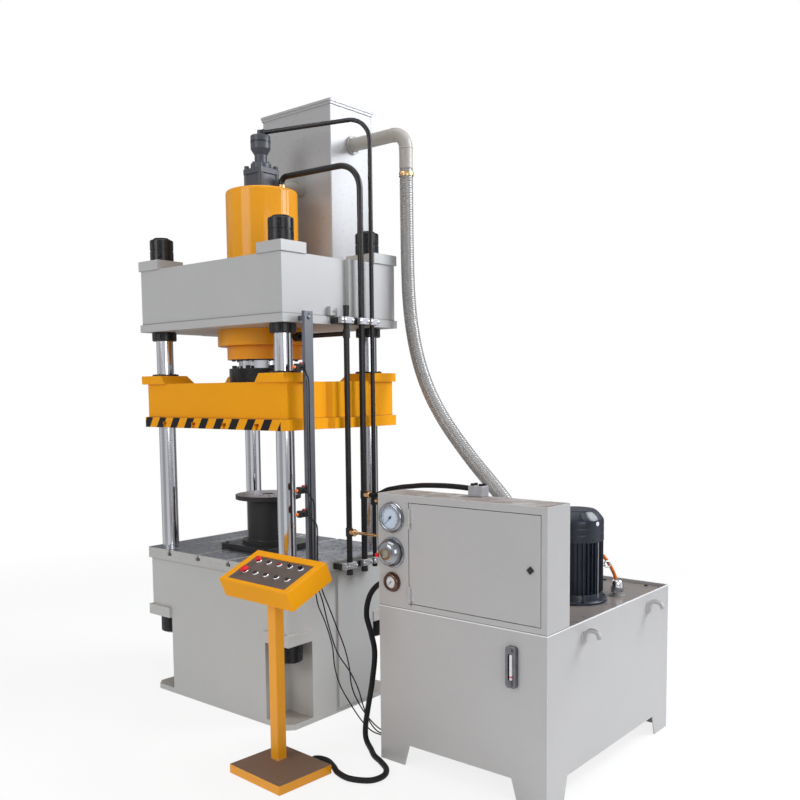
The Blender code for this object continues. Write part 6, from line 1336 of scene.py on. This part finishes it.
junction = joined(
    block(1.505, 1.579, -0.212, -0.1600, 1.2313, 1.2773, 0.002, 0.003),
    turned([(0, 0), (0.0165, 0), (0.0165, 0.0065), (0.0135, 0.008), (0, 0.008)],
        (1.542, -0.1600, 1.254), (0, 1, 0), 30))
addPiece("junctionBlock", junction, zincPlate, replaced="junction_block")
addPiece("junctionScrews",
    joined(*(socketScrew((x, y, 1.2773), 0.0088, 0.0098) for x in (1.521, 1.563)
        for y in (-0.199, -0.173))), blackNut)
addPiece("hoseEndNut", turned([(0, 0), (0.0165, 0), (0.0165, 0.022), (0.014, 0.026), (0, 0.026)],
    (1.542, -0.1520, 1.254), (0, 1, 0), 30, shape=hexed(0, 3)), zincPlate)
print("press: power unit's sheet metal and gauges")

# Motor, filler cap

motor = {"x": 1.722, "y": 0.345, "body": 0.118, "fin": 0.130, "count": 36, "width": 0.0040}


def makeMotor():
    m = motor
    centre = (m["x"], m["y"], 0)
    finAngles = np.linspace(0, 2 * math.pi, m["count"], endpoint=False) + math.pi / m["count"]

    def fins(profile, angle):
        # radius between body and fin tip: 1 + depth * smooth step of the distance to the nearest fin
        near = np.abs((angle[:, None] - finAngles[None] + math.pi) % (2 * math.pi) - math.pi).min(1) * m["fin"]
        rise = np.clip((m["width"] / 2 + 0.0012 - near) / 0.0012, 0, 1)
        tall = (profile[:, 1] > 0.752) & (profile[:, 1] < 0.9895)
        return 1 + (m["fin"] / m["body"] - 1) * rise[None] * tall[:, None]

    profile = [(0, 0.7044), (0.148, 0.7044), (0.148, 0.7165), (0.1465, 0.7183), (0.134, 0.7195),
        (0.131, 0.7255), (0.131, 0.742),
               (0.127, 0.7505), (m["body"], 0.7519), (m["body"], 0.7530), (m["body"], 0.9885),
               (m["body"], 0.9898), (0, 0.9898)]
    body = turned(profile, centre, "z", 480, shape=fins)
    feet = []
    for x, y in ringOf(4, 0.138, math.radians(45), (m["x"], m["y"])):
        feet.append(hexHead((x, y, 0.7185), 0.0088, 0.0078))
    for x, y in ringOf(4, 0.1235, math.radians(45), (m["x"], m["y"])):
        feet.append(turnedRod(0.0085, 0.7505, 0.722, (x, y, 0), "z", 20, ease=0.0015))
    box = [
        block(m["x"] - 0.050, m["x"] + 0.050, 0.452, 0.500, 0.881, 0.961, 0.003, 0.008, axis="y"),
        block(m["x"] - 0.050, m["x"] + 0.050, 0.4985, 0.513, 0.880, 0.962, 0.004, 0.010, axis="y"),
    ]
    box += [socketScrew((m["x"] + sx * 0.041, 0.5128, 0.921 + sz * 0.032), 0.0035, 0.002, "y")
        for sx in (-1, 1) for sz in (-1, 1)]
    addPiece("motorFrame", joined(body, *feet, *box), motorPaint, replaced="motor_frame", crisp=35)
    gland = turned([(0.0086, 0), (0.0135, 0), (0.0135, 0.009), (0.0115, 0.016), (0.0086, 0.018), (0.0086, 0)],
        (1.735, 0.5131, 0.905), "y", 24)
    addPiece("motorGland", gland, blackPlastic)
    # the tie rod and the lifting eye on the right rear side
    turn = math.radians(42)
    eyeAt = np.array((m["x"] + 0.132 * math.cos(turn), m["y"] + 0.132 * math.sin(turn), 0.868))
    way = unit(np.array((math.cos(turn), math.sin(turn), 0)))
    loop = np.linspace(0, 2 * math.pi, 40)
    eyeMid = eyeAt + way * 0.021
    up = np.array((0, 0, 1.0))
    ringPath = eyeMid + 0.0135 * (np.cos(loop)[:, None] * way + np.sin(loop)[:, None] * up)
    eye = joined(
        tube(ringPath, 0.0042, 16),
        turned([(0, -0.014), (0.0065, -0.014), (0.0065, -0.002), (0.0095, -0.002), (0.0095, 0.003), (0.0055, 0.006),
            (0.0045, 0.0085), (0, 0.0085)], eyeAt, way, 20))
    addPiece("motorEye", eye, brightMetal)
    rodTurn = math.radians(-9)
    rodAt = (m["x"] + 0.1305 * math.cos(rodTurn), m["y"] + 0.1305 * math.sin(rodTurn), 0)
    rod = turnedRod(0.0024, 0.73, 0.9892, rodAt, "z", 14)
    ends = turnedRod(0.0042, 0.742, 0.731, rodAt, "z", 6)
    addPiece("motorTieRod", joined(rod, ends), zincPlate)


def makeCowl():
    m = motor
    low = 0.9903

    def ribs(profile, angle):
        # shallow flutes on the dome's slope
        slope = np.clip((profile[:, 1] - 1.088) / 0.012, 0, 1) * np.clip((1.131 - profile[:, 1]) / 0.006, 0, 1)
        return 1 - 0.012 * slope[:, None] * (0.5 + 0.5 * np.cos(18 * angle))[None]

    profile = [
        (0.1295, low), (0.1315, low), (0.1320, low + 0.002), (0.1320, 1.022), (0.1306, 1.0235), (0.1306, 1.0275),
        (0.1320, 1.029), (0.1320, 1.053), (0.1308, 1.0545), (0.1308, 1.0575), (0.1318, 1.059), (0.1316, 1.084),
        (0.1285, 1.092), (0.1200, 1.104), (0.1080, 1.118), (0.0975, 1.1275), (0.0900, 1.1312), (0.0860, 1.1319),
        (0.0860, 1.1285), (0.0835, 1.1285), (0.0835, 1.1319), (0.0640, 1.1319), (0.0640, 1.1285), (0.0615, 1.1285),
        (0.0615, 1.1319), (0.0420, 1.1319), (0.0420, 1.1285), (0.0395, 1.1285), (0.0395, 1.1319), (0.0200, 1.1319),
        (0.0200, 1.1285), (0.0175, 1.1285), (0.0175, 1.1319), (0, 1.1319),
    ]
    inner = [(0, 1.1290 - 0.003), (0.088, 1.1265), (0.1285, 1.088), (0.1295, low)]
    shell = turned(profile, (m["x"], m["y"], 0), "z", 144, shape=ribs)
    liner = turned(inner, (m["x"], m["y"], 0), "z", 72)
    addPiece("fanCowl", joined(shell, liner), motorPaint, replaced="fan_cowl", crisp=50)
    screws = [socketScrew((x, y, 1.006), 0.0048, 0.003, (x - m["x"], y - m["y"], 0))
        for x, y in ringOf(4, 0.1318, math.radians(-22), (m["x"], m["y"]))]
    addPiece("cowlScrews", joined(*screws), blackSteel)
    turn = math.radians(-12)
    way = np.array((math.cos(turn), math.sin(turn), 0))
    spot = np.array((m["x"], m["y"], 1.075)) + way * 0.1312
    disc = turned([(0, 0.0015), (0.0095, 0.0013), (0.0102, 0.0006), (0.0102, -0.003), (0, -0.003)], spot, way, 28)
    addPiece("cowlSpot", disc,
        makeMaterial("whiteSpot", enamelSkin, paint=rgb(0.85, 0.87, 0.93), dusty=0.0, worn=0.1, rough=0.3, peel=0.1))


makeMotor()
makeCowl()
nodes["motor_rotor"].data.materials.clear()
nodes["motor_rotor"].data.materials.append(machinedSteel)


def makeFiller():
    at = (1.845, 0.535, 0)

    def knurl(profile, angle):
        # 36 shallow grooves on the grip between the plain bands
        grip = (profile[:, 1] > 0.7245) & (profile[:, 1] < 0.748)
        return 1 - 0.03 * (grip[:, None] * (np.cos(36 * angle) > 0.2)[None])

    cap = turned([
        (0.0225, 0.7207), (0.0292, 0.7207), (0.0300, 0.7225), (0.0300, 0.7244), (0.0300, 0.7246), (0.0300, 0.7478),
        (0.0300, 0.7482), (0.0285, 0.7505), (0.0282, 0.7620), (0.0265, 0.7715), (0.0220, 0.7782), (0.0120, 0.7816),
        (0, 0.7823)],
        at, "z", 144, shape=knurl)
    lid = turned([(0, 0.7240), (0.0225, 0.7240), (0.0225, 0.7207)], at, "z", 72)
    addPiece("fillerCap", joined(cap, lid), brightMetal, body="cap", replaced="filler_cap", crisp=50)
    neck = joined(
        turnedRod(0.036, 0.7042, 0.7088, at, "z", 48, ease=0.001),
        turnedRod(0.0218, 0.708, 0.72, at, "z", 40, ease=0.0008),
        *(socketScrew((x, y, 0.7088), 0.0034, 0.002) for x, y in ringOf(6, 0.030, 0.2, at[:2])))
    addPiece("fillerNeck", neck, zincPlate)


makeFiller()
print("press: motor and filler")

# Operator pedestal

pedestal = {
    "at": (0.860, -0.745), "turn": -3.5, "tilt": 23.5, "base": (0.345, 0.300, 0.041),
    "post": (-0.060, 0.040, 0.026), "high": 0.845,
    "console": (0.478, 0.250, 0.093), "pitch": 0.0735, "rows": (-0.036, 0.050), "recess": 0.006,
}
tiltAngle = math.radians(pedestal["tilt"])
floorPlace = Matrix.Translation((*pedestal["at"], 0)) @ Matrix.Rotation(math.radians(pedestal["turn"]), 4, "Z")
panelPlace = floorPlace @ Matrix.Translation((
    -0.087, -0.072 + 0.125 * math.cos(tiltAngle),
    pedestal["high"] + 0.125 * math.sin(tiltAngle))) @ Matrix.Rotation(tiltAngle, 4, "X")
sinTilt, cosTilt = math.sin(tiltAngle), math.cos(tiltAngle)
plainYellow = makeMaterial("pedestalYellow", enamelSkin, paint=paints["yellow"], dust=rgb(0.35, 0.17, 0.05),
    dusty=0.15, worn=0.25, rough=0.42, peel=0.08, specular=0.06)


def makeStand():
    w, d, high = pedestal["base"][0] / 2, pedestal["base"][1] / 2, pedestal["base"][2]
    plate = block(-w, w, -d, d, 0, high, 0.0022, 0.0035)
    x, y, half = pedestal["post"]
    outline = roundCorners(
        [(x - half, y - half), (x + half, y - half), (x + half, y + half), (x - half, y + half)], 0.0045, 5)
    # the post's top follows the console's underside: mid + run * tan(tilt) - depth / cos(tilt)
    midY, midZ = -0.072 + 0.125 * cosTilt, pedestal["high"] + 0.125 * sinTilt
    top = midZ + (outline[:,
        1] - midY - pedestal["console"][2] * sinTilt) * sinTilt / cosTilt - pedestal["console"][2] * cosTilt - 0.0004
    rings = [np.c_[outline, np.full(len(outline), high - 0.001)], np.c_[outline, top]]
    bead = np.array([(px, py, high + 0.0006) for px, py in np.vstack([outline, outline[:1]])])
    shell = joined(plate, lofted(rings), tube(bead, 0.0026, 8))
    addPiece("pedestalStand", moved(shell, floorPlace), basePaint, replaced="pedestal")


def makeConsole():
    w, l, h = pedestal["console"][0] / 2, pedestal["console"][1] / 2, pedestal["console"][2]
    x0, x1, y0, y1 = -w + 0.038, w - 0.038, -l + 0.022, l - 0.040
    outer = roundCorners(rect(-w, w, -l, l), 0.0032, 5)
    inner = roundCorners(rect(x0, x1, y0, y1), 0.0030, 5)
    step = insets(outer)
    rows = [(outer + 0.0030 * step, -h), (outer + 0.0010 * step, -h + 0.0008), (outer, -h + 0.003), (outer, -0.0028),
        (outer + 0.0009 * step, -0.0008),
            (outer + 0.0028 * step, 0), (inner - 0.0012 * insets(inner), 0), (inner, -0.0010), (inner, -0.0060)]
    rings = [np.c_[line, np.full(len(line), z)] for line, z in rows]
    addPiece("consoleBox", moved(lofted(rings), panelPlace), plainYellow, replaced="console_box")
    plate = block(x0 + 0.0008, x1 - 0.0008, y0 + 0.0008, y1 - 0.0008, -0.0059, -0.0044, 0.0004, 0.003)
    addPiece("consolePlate", moved(plate, panelPlace), panelPaint)


def panelSpot(row, column):
    return ((column - 2) * pedestal["pitch"], pedestal["rows"][row], -pedestal["recess"])


def pushCap(radius, top, dish):
    # a cap with a raised rim and a dished top
    return turned([
        (0, top - dish), (radius * 0.66, top - dish), (radius * 0.80, top - dish * 0.35), (radius * 0.88, top),
        (radius * 0.95, top - 0.0004),
        (radius, top - 0.0014), (radius, 0.0004), (0, 0.0004)], around=32)


def mushroom(radius):
    under, high = 0.0125, 0.014
    turn = np.linspace(0, math.pi / 2, 9)
    # a flattened dome: radius * sin, height * cos
    dome = np.c_[radius * np.sin(turn) ** 0.8, under + 0.0035 + (high - 0.0035) * np.cos(turn) ** 0.9]
    skirt = [(radius, under + 0.0010), (radius - 0.0008, under), (0.0108, under), (0.0105, 0.0004), (0, 0.0004)]
    return turned(np.vstack([dome, skirt]), (0, 0, 0), "z", 40)


def selector(turn):
    grip = np.array([(-0.0044, -0.0098), (0.0044, -0.0098), (0.0044, 0.0075), (0.0, 0.0135), (-0.0044, 0.0075)])
    spin = np.array([[math.cos(turn), -math.sin(turn)], [math.sin(turn), math.cos(turn)]])
    lever = slab(roundCorners(grip, (0.0022, 0.0022, 0.0015, 0.0008, 0.0015), 4) @ spin.T, 0.0068, 0.0223, 0.0010)
    base = turned([(0, 0.0076), (0.0095, 0.0076), (0.0107, 0.0066), (0.0107, 0.0004), (0, 0.0004)], around=32)
    line = slab(np.array([(-0.0006, 0.001), (0.0006, 0.001), (0.0006, 0.0105), (-0.0006, 0.0105)]) @ spin.T, 0.0220,
        0.0225, 0.0001, steps=1)
    return joined(lever, base), line


def makeButtons():
    rows = (
        ("emergency_stop", "press_button", "return_button", "inch_down_button", "inch_up_button"),
        ("pump_stop", "pump_start", "halt_button", "mode_selector", "cushion_selector"),
    )
    bezel = turned([
        (0.0113, 0.0014), (0.0113, 0.0070), (0.0121, 0.0079), (0.0136, 0.0076), (0.0148, 0.0062), (0.0156, 0.0036),
        (0.0156, 0.0014), (0.0113, 0.0014)],
        (0, 0, 0), "z", 40)
    bezels = []
    for row, column in ((row, column) for row in range(2) for column in range(5)):
        node = rows[row][column]
        spot = Matrix.Translation(panelSpot(row, column))
        bezels.append(moved(bezel, spot))
        words = node.split("_")
        name = words[0] + "".join(word.capitalize() for word in words[1:])
        if node in ("emergency_stop", "pump_stop"):
            shell, finish = mushroom(0.0200 if node == "emergency_stop" else 0.0160), redPlastic
        elif "selector" in node:
            shell, line = selector(math.radians(30 if column == 3 else 0))
            finish = blackPlastic
            addPiece(name + "Line", moved(moved(line, spot), panelPlace), whiteMark, body=node)
        else:
            shell, finish = pushCap(0.0108, 0.0114, 0.0016), blackPlastic
        addPiece(name, moved(moved(shell, spot), panelPlace), finish, body=node, replaced=node)
        if node == "halt_button":
            lens = turned([(0, 0.0112), (0.0066, 0.0108), (0.0072, 0.0101), (0.0072, 0.0090), (0, 0.0090)], around=32)
            addPiece("haltLens", moved(moved(lens, spot), panelPlace), redPlastic, body=node)
    addPiece("buttonBezels", moved(joined(*bezels), panelPlace), brightMetal)


whiteMark = makeMaterial("whiteMark", enamelSkin, paint=rgb(0.8, 0.8, 0.8), dusty=0.0, worn=0.1, rough=0.4, peel=0.1)
makeStand()
makeConsole()
makeButtons()
print("press: pedestal")

# Studio: pale floor, soft lamps, white background for the camera and for reflections

studio = {"ambient": 0.30, "floorSize": 12, "floorFade": (3.2, 5.2), "floorGlow": 0.80, "glow": 1.02}
white = (1, 1, 1)
# each lamp: place, what it looks at, width, power, tint
lamps = {
    "frontLamp": ((-0.5, -6.5, 4.2), (0.4, 0, 1.4), 3.5, 155, white),
    "rightLamp": ((4.2, 3.0, 4.8), (0.5, 0, 2.0), 3.0, 350, (0.92, 0.95, 1)),
    "sideLamp": ((7.0, -3.2, 2.6), (0.7, 0, 1.2), 3.0, 100, white),
    "topLamp": ((0.5, -0.5, 7.5), (0.5, 0, 0), 5.0, 130, white),
    "rearLamp": ((-6.0, 7.0, 6.5), (0.4, 0, 1.4), 3.5, 108.5, white),
}


def makeFloor():
    size = studio["floorSize"]
    mesh = bpy.data.meshes.new("studioFloor")
    mesh.from_pydata([(-size, -size, 0), (size, -size, 0), (size, size, 0), (-size, size, 0)], [], [(0, 1, 2, 3)])
    floor = bpy.data.objects.new("studioFloor", mesh)
    scene.collection.objects.link(floor)
    material = bpy.data.materials.new("paleFloor")
    material.use_nodes = True
    tree = material.node_tree
    shader = tree.nodes["Principled BSDF"]
    shader.inputs["Base Color"].default_value = rgb(0.86, 0.86, 0.86)
    shader.inputs["Roughness"].default_value = 0.8
    glow = added(tree, "Emission")
    glow.inputs["Strength"].default_value = studio["glow"]
    seen = added(tree, "LightPath")
    rays = calc(tree, "MAXIMUM", seen.outputs["Is Camera Ray"], seen.outputs["Is Glossy Ray"])
    rays = calc(tree, "MAXIMUM", rays, seen.outputs["Is Transmission Ray"])
    mix = added(tree, "MixShader")
    sock(tree, mix.inputs[0], times(tree, rays, studio["floorGlow"]))
    tree.links.new(shader.outputs[0], mix.inputs[1])
    tree.links.new(glow.outputs[0], mix.inputs[2])
    # far from the press the floor fades into the white background
    away = added(tree, "VectorMath")
    away.operation = "LENGTH"
    sock(tree, away.inputs[0], objectPlace(tree))
    fade = added(tree, "MixShader")
    sock(tree, fade.inputs[0], ramp(tree, away.outputs["Value"], *studio["floorFade"]))
    tree.links.new(mix.outputs[0], fade.inputs[1])
    tree.links.new(added(tree, "BsdfTransparent").outputs[0], fade.inputs[2])
    tree.links.new(fade.outputs[0], tree.nodes["Material Output"].inputs[0])
    mesh.materials.append(material)


def makeWorld():
    world = bpy.data.worlds.new("studio")
    scene.world = world
    world.use_nodes = True
    tree = world.node_tree
    plain = tree.nodes["Background"]
    plain.inputs["Color"].default_value = rgb(1, 1, 1)
    plain.inputs["Strength"].default_value = studio["ambient"]
    clear = added(tree, "Background")
    clear.inputs["Color"].default_value = rgb(1, 1, 1)
    # what metal mirrors: the white background with a few tall grey cards standing round the press
    x, y, z = parts(tree, added(tree, "TexCoord").outputs["Generated"])[:3]
    turn = calc(tree, "DIVIDE", calc(tree, "ADD", calc(tree, "ARCTAN2", y, x), math.pi), 2 * math.pi)
    cards = added(tree, "ValToRGB")
    cards.color_ramp.interpolation = "EASE"
    sock(tree, cards.inputs[0], turn)
    stops = [
        (0.00, 0.50), (0.05, 0.80), (0.12, 0.72), (0.18, 0.48), (0.25, 0.42), (0.30, 0.80), (0.36, 0.80),
        (0.40, 0.42), (0.45, 0.40), (0.50, 0.72), (0.56, 1.0), (0.63, 1.0), (0.67, 0.30), (0.72, 0.10), (0.76, 0.30),
        (0.80, 0.36), (0.87, 0.20), (0.94, 0.35),
    ]
    while len(cards.color_ramp.elements) < len(stops):
        cards.color_ramp.elements.new(0.5)
    for element, (at, tone) in zip(cards.color_ramp.elements, stops):
        element.position, element.color = at, (tone * 0.97, tone * 0.975, tone, 1)
    mirrored = added(tree, "Background")
    sock(tree, mirrored.inputs["Color"], cards.outputs[0])
    seen = added(tree, "LightPath")
    straight = calc(tree, "MAXIMUM", seen.outputs["Is Camera Ray"], seen.outputs["Is Transmission Ray"])
    mixA, mixB = added(tree, "MixShader"), added(tree, "MixShader")
    sock(tree, mixA.inputs[0], straight)
    tree.links.new(plain.outputs[0], mixA.inputs[1])
    tree.links.new(clear.outputs[0], mixA.inputs[2])
    sock(tree, mixB.inputs[0], seen.outputs["Is Glossy Ray"])
    tree.links.new(mixA.outputs[0], mixB.inputs[1])
    tree.links.new(mirrored.outputs[0], mixB.inputs[2])
    tree.links.new(mixB.outputs[0], tree.nodes["World Output"].inputs[0])


def makeLamps():
    for name, (spot, aim, wide, power, tint) in lamps.items():
        data = bpy.data.lights.new(name, "AREA")
        data.shape, data.size, data.energy, data.color = "SQUARE", wide, power, tint
        lamp = bpy.data.objects.new(name, data)
        lamp.visible_camera = False
        scene.collection.objects.link(lamp)
        lamp.location = spot
        lamp.rotation_euler = (Vector(aim) - Vector(spot)).to_track_quat("-Z", "Y").to_euler()


makeFloor()
makeWorld()
makeLamps()
scene.view_settings.view_transform = "Standard"
